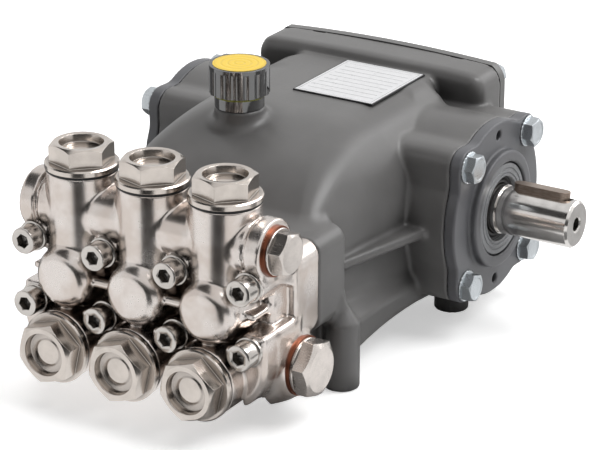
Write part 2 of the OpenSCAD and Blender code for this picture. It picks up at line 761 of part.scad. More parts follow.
module shaft_key() color("silver") at_crank()
    key_blank(key_start, key_start + key_len, shaft_d / 2 - key_depth, shaft_d / 2 + key_proud);

// A round boss whose front edge is a smooth arc, pointing up from the floor
module domed_rod(r, h, edge_r) {
    rotate_extrude() {
        square([r, h - edge_r]);
        square([r - edge_r, h]);
        translate([r - edge_r, h - edge_r]) circle(r = edge_r);
    }
}

module manifold_chambers() {
    for (v = valves) translate([v * pitch, 0, 0]) {
        y_rod(-joint_dist - chamber_reach, -joint_dist - over, chamber_r);
        face_front(-joint_dist - plate_t) domed_rod(dome_r, dome_reach - plate_t, dome_edge_r);
        translate([0, chest_y, 0]) cylinder(r = chest_r, h = chest_top);
        translate([0, 0, -suction_drop]) y_rod(-joint_dist - suction_reach, gallery_y, suction_chest_r);
    }
}

// The suction block and its side wings seen from the front
module block_front() {
    outer = manifold_w / 2;
    bottom = -suction_drop - gallery_r;
    translate([-outer, bottom + block_corner_r])
        square([2 * outer, -wing_top - bottom - block_corner_r]);
    translate([block_corner_r - outer, bottom]) square([2 * (outer - block_corner_r), -wing_top - bottom]);
    for (side = [-1, 1]) translate([side * (outer - block_corner_r), bottom + block_corner_r])
        circle(r = block_corner_r);
}

module manifold_decks() {
    outer = manifold_w / 2;
    inner = screw_columns[3] + screw_boss_r / 2;
    wall = outer - window_depth;
    along_y(-joint_dist - deck_reach, -joint_dist - over)
        translate([-inner, deck_under]) square([2 * inner, deck_t]);
    along_y(-joint_dist - block_reach, gallery_y) block_front();
    for (side = [0, 1]) mirror([side, 0, 0]) {
        along_y(-joint_dist - screw_reach, gallery_y) intersection() {
            block_front();
            translate([outer - wing_w, -suction_drop - gallery_r]) square([wing_w, suction_drop + gallery_r]);
        }
        along_x(wall - window_depth, delivery_end)
            polygon([[-joint_dist - over, deck_under], [-joint_dist - plate_t, deck_under],
                     [chest_y, delivery_rise - delivery_collar_r], [chest_y, delivery_rise],
                     [-joint_dist - plate_t, deck_under + deck_t], [-joint_dist - over, deck_under + deck_t]]);
    }
    along_y(-joint_dist - window_reach, -joint_dist - over)
        translate([-wall, -wing_top - over]) square([2 * wall, wing_top + deck_under + 2 * over]);
    along_y(-joint_dist - chamber_reach, -joint_dist - over)
        translate([over - wall, -window_rib_t / 2]) square([2 * (wall - over), window_rib_t]);
}

// A collar with its seat on the floor, joined to its tube by a fillet
module collar(r, h, tube_r) {
    fillet_r = r - tube_r;
    rotate_extrude() {
        translate([0, -h]) square([r, h]);
        difference() {
            translate([0, -h - fillet_r]) square([r, fillet_r]);
            translate([r, -h - fillet_r]) circle(r = fillet_r);
        }
    }
}

module manifold_galleries() {
    translate([0, chest_y, delivery_rise]) {
        x_rod(-delivery_end, delivery_end, delivery_r);
        for (side = [0, 1]) mirror([side, 0, 0])
            face_right(delivery_end) collar(delivery_collar_r, delivery_collar_len, delivery_r);
    }
    translate([0, gallery_y, -suction_drop]) {
        x_rod(-manifold_w / 2, manifold_w / 2, gallery_r);
        for (side = [0, 1]) mirror([side, 0, 0]) face_right(manifold_w / 2)
            cylinder(r1 = gallery_r, r2 = suction_face_r, h = suction_end - manifold_w / 2);
    }
    for (rib = [0, 1]) translate([(rib - 1) * pitch, -joint_dist - cross_rib_reach, 0])
        x_rod(0, pitch, cross_rib_d / 2);
}

module manifold_bores() {
    manifold_screws(-joint_dist + over) rotate([90, 0, 0]) cylinder(d = screw_hole_d, h = screw_reach + 2 * over);
    for (v = valves) translate([v * pitch, 0, 0]) {
        translate([0, chest_y, chest_top - cap_thread_len - over])
            cylinder(r = cap_thread_d / 2 + thread_gap, h = cap_thread_len + 2 * over);
        translate([0, 0, -suction_drop])
            y_rod(-joint_dist - suction_reach - over, -joint_dist - suction_reach + cap_thread_len + over,
                  cap_thread_d / 2 + thread_gap);
    }
    translate([0, chest_y, delivery_rise]) {
        x_rod(-delivery_end, delivery_end, delivery_bore_r);
        for (side = [0, 1]) mirror([side, 0, 0])
            x_rod(delivery_end - delivery_port_depth, delivery_end + over, delivery_port_r);
    }
    translate([0, gallery_y, -suction_drop]) {
        x_rod(-suction_end, suction_end, suction_bore_r);
        for (side = [0, 1]) mirror([side, 0, 0])
            x_rod(suction_end - suction_port_depth, suction_end + over, suction_port_r);
    }
}

// The back plate seen from the side, with its rounded heel at the joint face
module plate_side() {
    heel_y = -joint_dist - plate_heel_r;
    translate([-joint_dist - plate_t, -plate_bottom]) square([plate_t - plate_heel_r, plate_bottom + plate_top]);
    translate([heel_y, plate_heel_r - plate_bottom]) {
        square([plate_heel_r, plate_bottom + plate_top - plate_heel_r]);
        circle(r = plate_heel_r);
    }
}

module manifold() color("tan") at_crank() difference() {
    union() {
        intersection() {
            along_y(-joint_dist - plate_t, -joint_dist)
                round_box(-manifold_w / 2, manifold_w / 2, -plate_bottom - plate_corner_r, plate_top, plate_corner_r);
            along_x(-manifold_w, manifold_w) plate_side();
        }
        manifold_chambers();
        manifold_decks();
        manifold_galleries();
        manifold_screws(-joint_dist - over) rotate([90, 0, 0]) cylinder(r = screw_boss_r, h = screw_reach - over);
    }
    manifold_bores();
}

// A valve cap with its seal's upper face on the floor
module valve_cap(turn) {
    difference() {
        union() {
            translate([0, 0, -cap_seal_t - cap_thread_len])
                cylinder(d = cap_thread_d, h = cap_thread_len + cap_seal_t + over);
            cylinder(d = cap_flange_d, h = cap_flange_t);
            translate([0, 0, cap_flange_t]) rotate(turn) chamfered_hex(cap_af, cap_hex_h, cap_chamfer);
        }
        translate([0, 0, cap_flange_t + cap_hex_h - cap_recess_depth]) difference() {
            cylinder(d = cap_recess_d, h = cap_recess_depth + over);
            cylinder(d = cap_button_d, h = cap_button_h);
        }
    }
}

module cap_seal() {
    difference() {
        cylinder(d = cap_flange_d - cap_seal_t, h = cap_seal_t);
        translate([0, 0, -over]) cylinder(r = cap_thread_d / 2 + thread_gap, h = cap_seal_t + 2 * over);
    }
}

module delivery_seat(v) {
    at_crank() translate([v * pitch, chest_y, chest_top]) children();
}

module suction_seat(v) {
    at_crank() translate([v * pitch, 0, -suction_drop]) face_front(-joint_dist - suction_reach) children();
}

module delivery_valve_cap(v) color("tan") delivery_seat(v)
    translate([0, 0, cap_seal_t]) valve_cap(delivery_cap_turn);

module suction_valve_cap(v) color("tan") suction_seat(v)
    translate([0, 0, cap_seal_t]) valve_cap(suction_cap_turn);

module delivery_cap_seals() color("black") for (v = valves) delivery_seat(v) cap_seal();

module suction_cap_seals() color("black") for (v = valves) suction_seat(v) cap_seal();

// A hexagon plug with its washer's outer face on the floor
module port_plug(af, h, thread_r, thread_len) {
    chamfered_hex(af, h, cap_chamfer);
    translate([0, 0, -thread_len]) cylinder(r = thread_r - thread_gap, h = thread_len + over);
}

module port_washer(af, thread_r) {
    difference() {
        cylinder(r = af / 2 + washer_rim, h = washer_t);
        translate([0, 0, -over]) cylinder(r = thread_r, h = washer_t + 2 * over);
    }
}

module delivery_port() {
    at_crank() translate([0, chest_y, delivery_rise]) face_right(delivery_end) children();
}

module suction_port() {
    at_crank() translate([0, gallery_y, -suction_drop]) face_right(suction_end) children();
}

module delivery_port_plug() color("tan") delivery_port() translate([0, 0, washer_t])
    port_plug(delivery_plug_af, delivery_plug_h, delivery_port_r, delivery_port_depth - over);

module delivery_plug_washer() color("peru") delivery_port() port_washer(delivery_plug_af, delivery_port_r);

module suction_port_plug() color("tan") suction_port() translate([0, 0, washer_t])
    port_plug(suction_plug_af, suction_plug_h, suction_port_r, suction_port_depth - over);

module suction_plug_washer() color("peru") suction_port() port_washer(suction_plug_af, suction_port_r);

module filler_place(z) {
    at_crank() translate([-filler_x, -filler_dist, filler_boss_top + z]) children();
}

module filler_cap() color("black") filler_place(0) {
    grip = filler_neck_h + filler_seal_t;
    translate([0, 0, over - filler_thread_len]) cylinder(r = filler_thread_r, h = filler_thread_len);
    cylinder(d = filler_neck_d, h = filler_neck_h);
    translate([0, 0, filler_neck_h - over]) cylinder(d = filler_core_d, h = filler_seal_t + 2 * over);
    difference() {
        translate([0, 0, grip]) cylinder(d = filler_cap_d, h = filler_cap_h);
        for (flute = [0 : filler_flutes - 1]) rotate(flute * 360 / filler_flutes)
            translate([filler_cap_d / 2 + filler_flute_r - filler_flute_depth, 0, grip - over])
                cylinder(r = filler_flute_r, h = filler_cap_h - filler_rim_h + over);
        translate([0, 0, grip + filler_cap_h - filler_disc_seat])
            cylinder(d = filler_disc_d, h = filler_disc_seat + over);
    }
}

module filler_cap_seal() color("olive") filler_place(filler_neck_h) difference() {
    cylinder(d = filler_seal_d, h = filler_seal_t);
    translate([0, 0, -over]) cylinder(d = filler_core_d, h = filler_seal_t + 2 * over);
}

module filler_cap_disc() color("gold")
    filler_place(filler_neck_h + filler_seal_t + filler_cap_h - filler_disc_seat)
        cylinder(d = filler_disc_d, h = filler_disc_seat + filler_disc_proud);

module nameplate() color("white") at_crank()
    translate([nameplate_x - plate_len_x / 2, -nameplate_dist - plate_len_y / 2, hood_top])
        cube([plate_len_x, plate_len_y, nameplate_t]);

crankcase();
rear_cover();
sight_glass_ring();
sight_glass_lens();
drain_plug();
drain_plug_washer();
filler_cap();
filler_cap_disc();
filler_cap_seal();
bearing_cover_right();
bearing_cover_left();
drive_end_bearing();
shaft_oil_seal();
crankshaft();
shaft_key();
manifold();
delivery_valve_cap(valves[0]);  // delivery_valve_cap_1
delivery_valve_cap(valves[1]);  // delivery_valve_cap_2
delivery_valve_cap(valves[2]);  // delivery_valve_cap_3
suction_valve_cap(valves[0]);  // suction_valve_cap_1
suction_valve_cap(valves[1]);  // suction_valve_cap_2
suction_valve_cap(valves[2]);  // suction_valve_cap_3
delivery_cap_seals();
suction_cap_seals();
delivery_port_plug();
delivery_plug_washer();
suction_port_plug();
suction_plug_washer();
nameplate();
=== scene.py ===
"""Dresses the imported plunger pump: painted casting, nickel-plated manifold, screws, caps and plugs."""

import math

import bmesh
import bpy
import numpy as np
import openvdb
from mathutils import Matrix, Vector


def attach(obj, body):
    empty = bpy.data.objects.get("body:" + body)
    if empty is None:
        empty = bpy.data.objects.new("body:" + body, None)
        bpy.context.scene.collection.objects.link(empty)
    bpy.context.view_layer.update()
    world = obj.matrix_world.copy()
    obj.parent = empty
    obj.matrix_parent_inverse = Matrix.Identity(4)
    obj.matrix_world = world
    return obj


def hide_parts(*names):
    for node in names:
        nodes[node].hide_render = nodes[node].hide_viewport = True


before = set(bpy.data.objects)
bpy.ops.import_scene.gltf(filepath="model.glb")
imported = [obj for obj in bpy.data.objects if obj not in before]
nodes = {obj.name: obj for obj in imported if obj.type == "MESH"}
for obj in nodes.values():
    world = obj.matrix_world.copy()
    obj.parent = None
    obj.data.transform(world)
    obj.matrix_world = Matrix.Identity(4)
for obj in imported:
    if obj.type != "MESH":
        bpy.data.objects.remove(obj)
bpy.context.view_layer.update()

MM = 0.001
# The crank axis in millimetres: every size below is measured from it, as in the part's drawing
CRANK = Vector((0.0, 55.5, 60.0))
FLOOR = -60.0
COS_45 = 0.7071

# Valves, chests and galleries
VALVE_PITCH = 40.0
VALVES = (-VALVE_PITCH, 0.0, VALVE_PITCH)
CHEST_Y = -170.5
CHEST_TOP = 50.2
SUCTION_Y = -151.3
SUCTION_Z = -32.7
SUCTION_FRONT = -192.6
CAP_SEAL = 0.9
DELIVERY_Z = 31.0
DELIVERY_END = 68.0
SUCTION_END = 70.5
GALLERY_END = 69.0
SUCTION_BOTTOM = -50.1

# The joint between crankcase and manifold, and the screws that hold it
JOINT = -134.0
JOINT_SPARE = 0.3
PLATE_FRONT = -155.0
SCREW_SEAT = -182.4
SCREW_COLUMNS = (-60.0, -20.0, 20.0, 60.0)
SCREW_ROW = 16.0
FLANGE_BACK = -109.0
FLANGE_HALF = 68.0
FLANGE_HIGH = 23.0
FLANGE_CORNER = 7.5

# Bearing pads and their covers
PAD_FACE = 85.5
PAD_R = 45.0
EAR_AT = 31.32
EAR_R = 8.8
EAR_FILLET = 7.0
COVER_FACE = 91.4
COLLAR_FACE = 95.4
COVER_BOLT_R = 44.3
BEARING_R = 31.0
SEAL_FACE = 94.6

# Feet, filler and the back
FOOT_X = 67.0
FOOT_Y = -55.5
FOOT_HALF_PITCH = 55.5
FILLER_X = -14.5
FILLER_Y = -73.0
REAR_HIGH = 58.0
REAR_FACE = 48.0
REAR_COVER_FACE = 53.0


# Finishes

class Term:
    """A shader socket that can be added, multiplied and compared."""

    def __init__(self, finish, socket):
        self.finish, self.socket = finish, socket

    def _math(self, operation, *others):
        return self.finish.node("ShaderNodeMath", {"operation": operation}, [self, *others])

    def __add__(self, other):
        return self._math("ADD", other)

    def __radd__(self, other):
        return self._math("ADD", other)

    def __sub__(self, other):
        return self._math("SUBTRACT", other)

    def __rsub__(self, other):
        return self.finish.node("ShaderNodeMath", {"operation": "SUBTRACT"}, [other, self])

    def __mul__(self, other):
        return self._math("MULTIPLY", other)

    def __rmul__(self, other):
        return self._math("MULTIPLY", other)

    def __gt__(self, other):
        return self._math("GREATER_THAN", other)

    def __lt__(self, other):
        return self._math("LESS_THAN", other)

    def atleast(self, other):
        return self._math("MAXIMUM", other)

    def atmost(self, other):
        return self._math("MINIMUM", other)

    def wave(self):
        return self._math("SINE")

    def size(self):
        return self._math("ABSOLUTE")

    def root(self):
        return self._math("SQRT")

    def ramp(self, low, high, start=0.0, end=1.0):
        """Goes smoothly from start to end while the value goes from low to high."""
        return self.finish.node("ShaderNodeMapRange", {"interpolation_type": "SMOOTHSTEP"},
                                {"Value": self, "From Min": low, "From Max": high, "To Min": start,
                                 "To Max": end})


class Finish:
    """A material, or the world, and the nodes that make it."""

    def __init__(self, name, owner=None):
        self.owner = owner or bpy.data.materials.new(name)
        self.owner.use_nodes = True
        self.tree = self.owner.node_tree
        self.tree.nodes.clear()
        self.place = None

    def node(self, kind, settings=None, inputs=None, out=0):
        """Any node: its type, its settings, and the values or links of its sockets."""
        made = self.tree.nodes.new(kind)
        for key, value in (settings or {}).items():
            setattr(made, key, value)
        pairs = inputs.items() if isinstance(inputs, dict) else enumerate(inputs or [])
        for key, value in pairs:
            self.feed(made.inputs[key], value)
        return Term(self, made.outputs[out])

    def feed(self, socket, value):
        if isinstance(value, Term):
            self.tree.links.new(value.socket, socket)
        elif value is not None:
            socket.default_value = value

    def where(self):
        """The point in millimetres."""
        if self.place is None:
            point = self.node("ShaderNodeTexCoord", out="Object")
            self.place = self.node("ShaderNodeVectorMath", {"operation": "SCALE"},
                                   {0: point, "Scale": 1.0 / MM})
        return self.place

    def axes(self):
        split = self.node("ShaderNodeSeparateXYZ", None, [self.where()])
        outs = split.socket.node.outputs
        return Term(self, outs[0]), Term(self, outs[1]), Term(self, outs[2])

    def noise(self, size, detail=2.0, rough=0.5, stretch=None):
        """Noise whose features measure about that many millimetres."""
        point = self.where()
        if stretch:
            point = self.node("ShaderNodeVectorMath", {"operation": "MULTIPLY"}, [point, stretch])
        return self.node("ShaderNodeTexNoise", None,
                         {"Vector": point, "Scale": 1.0 / size, "Detail": detail, "Roughness": rough})

    def mix(self, factor, a, b):
        """Colour a where the factor is 0 and colour b where it is 1."""
        a, b = [tone if isinstance(tone, Term) else (*tone, 1.0) for tone in (a, b)]
        return self.node("ShaderNodeMix", {"data_type": "RGBA"}, {0: factor, 6: a, 7: b}, out=2)

    def clouded(self, mask, colour, dark, light):
        """The colour times dark where the mask is low, and times light where it is high."""
        shades = [[min(1.0, c * share) for c in colour] for share in (dark, light)]
        return self.mix(mask.ramp(0.3, 0.7), *shades)

    def crevice(self, reach, samples=8):
        """1 on open surfaces, towards 0 in corners within reach millimetres; the mask for painted shade."""
        return self.node("ShaderNodeAmbientOcclusion", {"samples": samples}, {"Distance": reach * MM},
                         out="AO")

    def bump(self, height, depth, edge=0.0):
        """A bump whose height of 1 stands for depth millimetres, over edges softened by edge millimetres."""
        soft = self.node("ShaderNodeBevel", {"samples": 4}, {"Radius": edge * MM}) if edge else None
        return self.node("ShaderNodeBump", None,
                         {"Strength": 1.0, "Distance": depth * MM, "Height": height, "Normal": soft})

    def ray(self, kind):
        """1 for rays of that kind, else 0."""
        return self.node("ShaderNodeLightPath", out=f"Is {kind} Ray")

    def surface(self, **sockets):
        """Closes the material with a Principled shader that takes these sockets."""
        named = {key.replace("_", " "): value for key, value in sockets.items()}
        self.close("ShaderNodeOutputMaterial", self.node("ShaderNodeBsdfPrincipled", None, named))
        return self.owner

    def close(self, kind, shader):
        output = self.tree.nodes.new(kind)
        self.tree.links.new(shader.socket, output.inputs[0])


def housing_paint(name, tone, rough, grain, edge=0.0):
    """Satin paint over cast aluminium: fine orange peel, drier and glossier patches, and painted shade that
    darkens its corners.
    """
    f = Finish(name)
    cloud = f.noise(26.0, 3.0)
    peel = f.noise(1.5, 3.0, 0.6)
    colour = f.clouded(cloud, tone, 0.93, 1.08)
    # Painted shade: corners within 22 mm are darkened towards 0.3 times the tone.
    colour = f.mix(f.crevice(22.0, 16).ramp(0.3, 0.85, 0.7, 0.0), colour, [c * 0.3 for c in tone])
    return f.surface(Base_Color=colour, Roughness=rough + (cloud - 0.5) * 0.10 + (peel - 0.5) * 0.10,
                     Specular_IOR_Level=0.5, Normal=f.bump(peel, grain, edge))


def nickel_forging():
    """Nickel plate over a tumbled forging: satin, with soft cloudiness, faint pits and painted shade in its
    corners and between its parts.
    """
    f = Finish("nickel_forging")
    cloud = f.noise(14.0, 3.0)
    pits = f.noise(0.9, 3.0, 0.65)
    warm, cool, painted_shade = (0.68, 0.605, 0.555), (0.79, 0.735, 0.70), (0.20, 0.165, 0.14)
    colour = f.mix(cloud.ramp(0.35, 0.68), warm, cool)
    # Painted shade: within 14 mm of other parts, as between chests and domes, the nickel is darkened towards
    # painted_shade.
    colour = f.mix(f.crevice(14.0, 16).ramp(0.1, 0.7, 0.62, 0.0), colour, painted_shade)
    rough = 0.25 + (cloud - 0.5) * 0.14 + (pits - 0.5) * 0.08
    return f.surface(Base_Color=colour, Metallic=1.0, Roughness=rough, Normal=f.bump(pits, 0.007))


def plated_fitting(name, colour, rough=0.3, grain=0.012, dull=0.6, reach=3.0, edge=0.25, stretch=None,
                   shade=(0.15, 0.75)):
    """A plated fitting with a fine blasted or brushed grain, and painted shade that darkens it by up to dull
    where it is less open than shade.
    """
    f = Finish(name)
    grain_noise = f.noise(0.45, 2.0, 0.7, stretch)
    tint = f.clouded(f.noise(9.0, 2.0), colour, 0.92, 1.05)
    # Painted shade: corners within reach millimetres are darkened towards 0.08 times the colour, by up to
    # dull.
    tint = f.mix(f.crevice(reach, 16).ramp(*shade, dull, 0.0), tint, [c * 0.08 for c in colour])
    return f.surface(Base_Color=tint, Metallic=1.0, Roughness=rough + (grain_noise - 0.5) * 0.22,
                     Normal=f.bump(grain_noise, grain, edge))


def ground_shaft():
    """Ground steel with fine lines round the shaft."""
    f = Finish("ground_steel_shaft")
    round_the_shaft = (1.0, 0.02, 0.02)
    lines = f.noise(0.25, 2.0, 0.7, round_the_shaft)
    dull, bright, painted_shade = (0.70, 0.675, 0.65), (0.80, 0.775, 0.75), (0.10, 0.08, 0.06)
    tint = f.mix(f.noise(7.0, 2.0).ramp(0.3, 0.7), dull, bright)
    # Painted shade: corners within 3 mm are darkened towards painted_shade.
    tint = f.mix(f.crevice(3.0).ramp(0.2, 0.7, 0.6, 0.0), tint, painted_shade)
    return f.surface(Base_Color=tint, Metallic=1.0, Roughness=0.1 + lines * 0.12,
                     Normal=f.bump(lines, 0.002, 0.3))


def key_steel():
    """Drawn key steel, darker and browner than the shaft, with its grain along the shaft."""
    f = Finish("drawn_key_steel")
    along_the_shaft = (0.15, 1.0, 1.0)
    grain_noise = f.noise(0.5, 2.0, 0.7, along_the_shaft)
    tint = f.mix(grain_noise.ramp(0.3, 0.7), (0.30, 0.235, 0.19), (0.42, 0.34, 0.285))
    return f.surface(Base_Color=tint, Metallic=1.0, Roughness=0.34 + grain_noise * 0.12,
                     Normal=f.bump(grain_noise, 0.008, 0.4))


def moulded(name, colour, rough, grain=0.01, size=1.2, edge=0.2, ior=1.45):
    """Moulded plastic or rubber."""
    f = Finish(name)
    skin = f.noise(size, 2.0, 0.6)
    tint = f.clouded(skin, colour, 0.9, 1.08)
    return f.surface(Base_Color=tint, Roughness=rough + (skin - 0.5) * 0.08, IOR=ior,
                     Normal=f.bump(skin, grain, edge))


def ringed(name, colour, rough, centre_x, centre_y, step, depth):
    """Moulded plastic with shallow rings round an upright axis."""
    f = Finish(name)
    x, y, _ = f.axes()
    x, y = x - centre_x, y - centre_y
    radius = (x * x + y * y).root()
    rings = (radius * (2.0 * math.pi / step)).wave() * 0.5 + 0.5
    skin = f.noise(0.8, 2.0)
    # Painted shade: the troughs of the rings are darkened towards 0.7 times the colour.
    tint = f.mix(rings.ramp(0.0, 0.35, 0.25, 0.0), colour, [c * 0.7 for c in colour])
    return f.surface(Base_Color=tint, Roughness=rough + (skin - 0.5) * 0.08,
                     Normal=f.bump(rings.ramp(0.0, 0.5), depth))


def printed_plate():
    """White lacquered plate with a black edge, one thin frame line and thin plain rules, and no lettering."""
    f = Finish("nameplate_lacquer")
    middle_x, middle_y, half_wide, half_long, rule_step = 13.5, 51.5, 23.0, 27.0, 5.2
    x, y, _ = f.axes()
    across, along = (x - middle_x).size(), (y - middle_y).size()
    from_edge = (half_wide - across).atmost(half_long - along)
    border = from_edge < 0.7
    frame_line = (from_edge > 1.9) * (from_edge < 2.15)
    rules = (((y - middle_y) * (2.0 * math.pi / rule_step)).wave() > 0.96) * (across < 18.5) * (along < 22.0)
    scuff = f.noise(2.4, 3.0, 0.6)
    dull, white = (0.69, 0.69, 0.70), (0.76, 0.76, 0.77)
    print_grey, black = (0.10, 0.10, 0.11), (0.025, 0.025, 0.027)
    lacquer = f.mix(scuff.ramp(0.3, 0.75), dull, white)
    printed = f.mix(frame_line.atmost(1.0) * 0.75 + rules * 0.7, lacquer, print_grey)
    return f.surface(Base_Color=f.mix(border, printed, black), Roughness=0.3 + (scuff - 0.5) * 0.15,
                     Normal=f.bump(scuff, 0.004, 0.15))


# Shapes worked out as distances, so that castings and forgings get real fillets

class Room:
    """The points at which a shape's distance is worked out, in millimetres from the crank axis."""

    def __init__(self, x, y, z):
        self.x, self.y, self.z = x, y, z
        self.ax = np.abs(x)


def rod_x(room, y, z, r):
    return np.hypot(room.y - y, room.z - z) - r


def rod_z(room, x, y, r):
    return np.hypot(room.x - x, room.y - y) - r


def between(values, low, high):
    return np.maximum(low - values, values - high)


def meet(a, b, r=0.0):
    """What lies in both shapes, with its edge rounded to r."""
    if r == 0.0:
        return np.maximum(a, b)
    return np.minimum(np.maximum(a, b), -r) + np.hypot(np.maximum(a + r, 0.0), np.maximum(b + r, 0.0))


def join(a, b, r=0.0):
    """What lies in either shape, with a fillet of r in the corner."""
    if r == 0.0:
        return np.minimum(a, b)
    return np.maximum(np.minimum(a, b), r) - np.hypot(np.maximum(r - a, 0.0), np.maximum(r - b, 0.0))


def cut(a, b, r=0.0):
    """What lies in a and not in b, with its edge rounded to r."""
    return meet(a, -b, r)


def round_rect(u, v, u0, u1, v0, v1, r):
    """A rectangle with round corners, in any two directions."""
    du = np.abs(u - (u0 + u1) / 2) - (u1 - u0) / 2 + r
    dv = np.abs(v - (v0 + v1) / 2) - (v1 - v0) / 2 + r
    return np.minimum(np.maximum(du, dv), 0.0) + np.hypot(np.maximum(du, 0.0), np.maximum(dv, 0.0)) - r


def to_joint(room, shape):
    """Ends a shape just past the joint, where the manifold's last cut trims it."""
    return np.maximum(shape, room.y - JOINT - JOINT_SPARE)


# The crankcase

def hood(room):
    """Cheeks that lean in towards the front, a crest that falls on an arc, and a neck behind."""
    crest_y, crest_z = -50.0, 53.0
    front_half, rear_half, widening = 58.0, 64.0, 64.0
    cheek_z, cheek_r = 8.0, 58.0
    body_back, neck_half, neck_back, bottom, front_gap = 20.0, 42.0, 30.0, -38.0, 0.5
    y, z, ax = room.y, room.z, room.ax
    top = np.where(y > crest_y, z - crest_z, np.hypot(y - crest_y, z + crest_z) - 2.0 * crest_z)
    half = front_half + (rear_half - front_half) * np.clip((y - FLANGE_BACK) / widening, 0.0, 1.0)
    lean = (rear_half - half) * (1.0 - 0.5 * np.clip((z - cheek_z) / (crest_z - cheek_z), 0.0, 1.0))
    across = ax + lean
    arc = np.hypot(across - (rear_half - cheek_r), z - cheek_z) - cheek_r
    walls = meet(np.where(z > cheek_z, arc, across - rear_half), y - body_back, r=6.0)
    walls = join(walls, np.maximum(ax - neck_half, between(y, 0.0, neck_back)), r=5.0)
    whole = meet(meet(top, walls, r=8.0), bottom - z, r=4.0)
    return np.maximum(whole, JOINT + front_gap - y)


def front_flange(room):
    """The flange that the manifold is screwed to."""
    low = -24.0
    outline = round_rect(room.x, room.z, -FLANGE_HALF, FLANGE_HALF, low, FLANGE_HIGH, FLANGE_CORNER)
    return meet(meet(outline, room.y - FLANGE_BACK, r=2.4), JOINT - room.y, r=0.7)


def rear_flange(room):
    """The flange that the rear cover closes, with a slightly crowned top."""
    half, low, corner, crown, front = 67.0, -46.0, 12.0, 2.4, 26.0
    crown_r = (half * half + crown * crown) / (2.0 * crown)
    arch = np.hypot(room.x, room.z - REAR_HIGH + crown_r) - crown_r
    slab = meet(round_rect(room.x, room.z, -half, half, low, REAR_HIGH, corner), arch, r=2.0)
    return meet(meet(slab, front - room.y, r=6.0), room.y - REAR_FACE, r=0.2)


def eared_disc(room):
    """The outline that bearing pads and their covers share: a disc with four ears for the bolts."""
    ear = np.hypot(np.abs(room.y) - EAR_AT, np.abs(room.z) - EAR_AT) - EAR_R
    return join(np.hypot(room.y, room.z) - PAD_R, ear, r=EAR_FILLET)


def bearing_pads(room):
    """A pad on each side, rooted in the hood, with its face just inside the cover's."""
    root, face = 40.0, PAD_FACE - 0.1
    return np.maximum(meet(eared_disc(room), room.ax - face, r=0.3), root - room.ax)


def side_rails(room):
    """A rail along each side: sloping above, and arched below from foot to foot."""
    outer, inner, root, slope_at, wall_bottom = 68.5, 61.5, 50.0, 38.0, -38.0
    arch_z, arch_r, front, back = -294.4, 252.0, -111.0, 0.0
    y, z, ax = room.y, room.z, room.ax
    rail = meet(ax - outer, (ax + z - slope_at) * COS_45, r=1.2)
    rail = meet(rail, arch_r - np.hypot(y - FOOT_Y, z - arch_z), r=1.6)
    rail = np.maximum(rail, np.minimum(inner - ax, wall_bottom - z))
    return np.maximum(np.maximum(rail, root - ax), between(y, front, back))


def side_webs(room):
    """A flat web along each side, which reaches further out towards the bearing pad."""
    front, run, front_reach, flare, slant = -102.0, 57.0, 62.4, 13.2, 0.97
    middle_z, half_thick, root, web_front, web_back = -2.2, 2.5, 50.0, -110.0, -40.0
    reach = front_reach + flare * np.clip((room.y - front) / run, -0.2, 1.1)
    web = meet((room.ax - reach) * slant, np.abs(room.z - middle_z) - half_thick, r=1.4)
    return np.maximum(meet(web, between(room.y, web_front, web_back), r=1.0), root - room.ax)


def from_foot(room):
    """Distance from the axis of the nearest foot."""
    return np.hypot(room.ax - FOOT_X, np.abs(room.y - FOOT_Y) - FOOT_HALF_PITCH)


def feet(room):
    """Four round posts whose tops narrow to a point against the wall."""
    r, cone_start, cone_tip, slant = 8.8, -26.0, -13.0, 0.85
    taper = 1.0 - np.clip((room.z - cone_start) / (cone_tip - cone_start), 0.0, 1.0)
    post = (from_foot(room) - r * taper) * slant
    return meet(np.maximum(post, room.z - cone_tip), FLOOR - room.z, r=1.2)


def filler_boss(room):
    """The boss that the filler cap is screwed into."""
    r, top = 12.6, 56.8
    return np.maximum(meet(rod_z(room, FILLER_X, FILLER_Y, r), room.z - top, r=0.6), -room.z)


def casting_shape(room):
    """The crankcase in one skin, bored from the right for the shaft and from below for the feet's threads."""
    bearing_start, shaft_r, shaft_start = 62.5, 21.0, 49.0
    thread_r, thread_top = 3.4, -46.0
    shape = join(hood(room), front_flange(room), r=5.0)
    shape = join(shape, rear_flange(room), r=2.4)
    shape = join(shape, bearing_pads(room), r=2.2)
    shape = join(shape, side_rails(room), r=2.4)
    shape = join(shape, side_webs(room), r=2.2)
    shape = join(shape, feet(room), r=3.4)
    shape = join(shape, filler_boss(room), r=5.0)
    shape = cut(shape, np.maximum(rod_x(room, 0.0, 0.0, BEARING_R), bearing_start - room.x))
    shape = cut(shape, np.maximum(rod_x(room, 0.0, 0.0, shaft_r), shaft_start - room.x))
    return cut(shape, np.maximum(from_foot(room) - thread_r, room.z - thread_top), r=0.6)


def cover_shape(room):
    """A bearing cover: eared plate, raised collar and two jacking holes; the right one takes the seal."""
    collar_r, collar_root = 30.0, 87.0
    jack_z, jack_r = 38.3, 2.5
    pocket_r, pocket_floor, bore_r, bore_start = 24.2, 88.0, 16.0, 60.0
    x, y, z, ax = room.x, room.y, room.z, room.ax
    plate = meet(meet(eared_disc(room), ax - COVER_FACE, r=0.8), PAD_FACE - ax, r=0.3)
    collar = np.maximum(meet(np.hypot(y, z) - collar_r, ax - COLLAR_FACE, r=0.8), collar_root - ax)
    shape = join(plate, collar, r=0.9)
    shape = cut(shape, np.hypot(y, np.abs(z) - jack_z) - jack_r, r=0.4)
    shape = cut(shape, np.maximum(rod_x(room, 0.0, 0.0, pocket_r), pocket_floor - x), r=0.5)
    return cut(shape, np.maximum(rod_x(room, 0.0, 0.0, bore_r), bore_start - x))


# The manifold

def from_valve(x):
    """How far x lies from the middle of the nearest valve."""
    return x - np.clip(np.round(x / VALVE_PITCH), -1, 1) * VALVE_PITCH


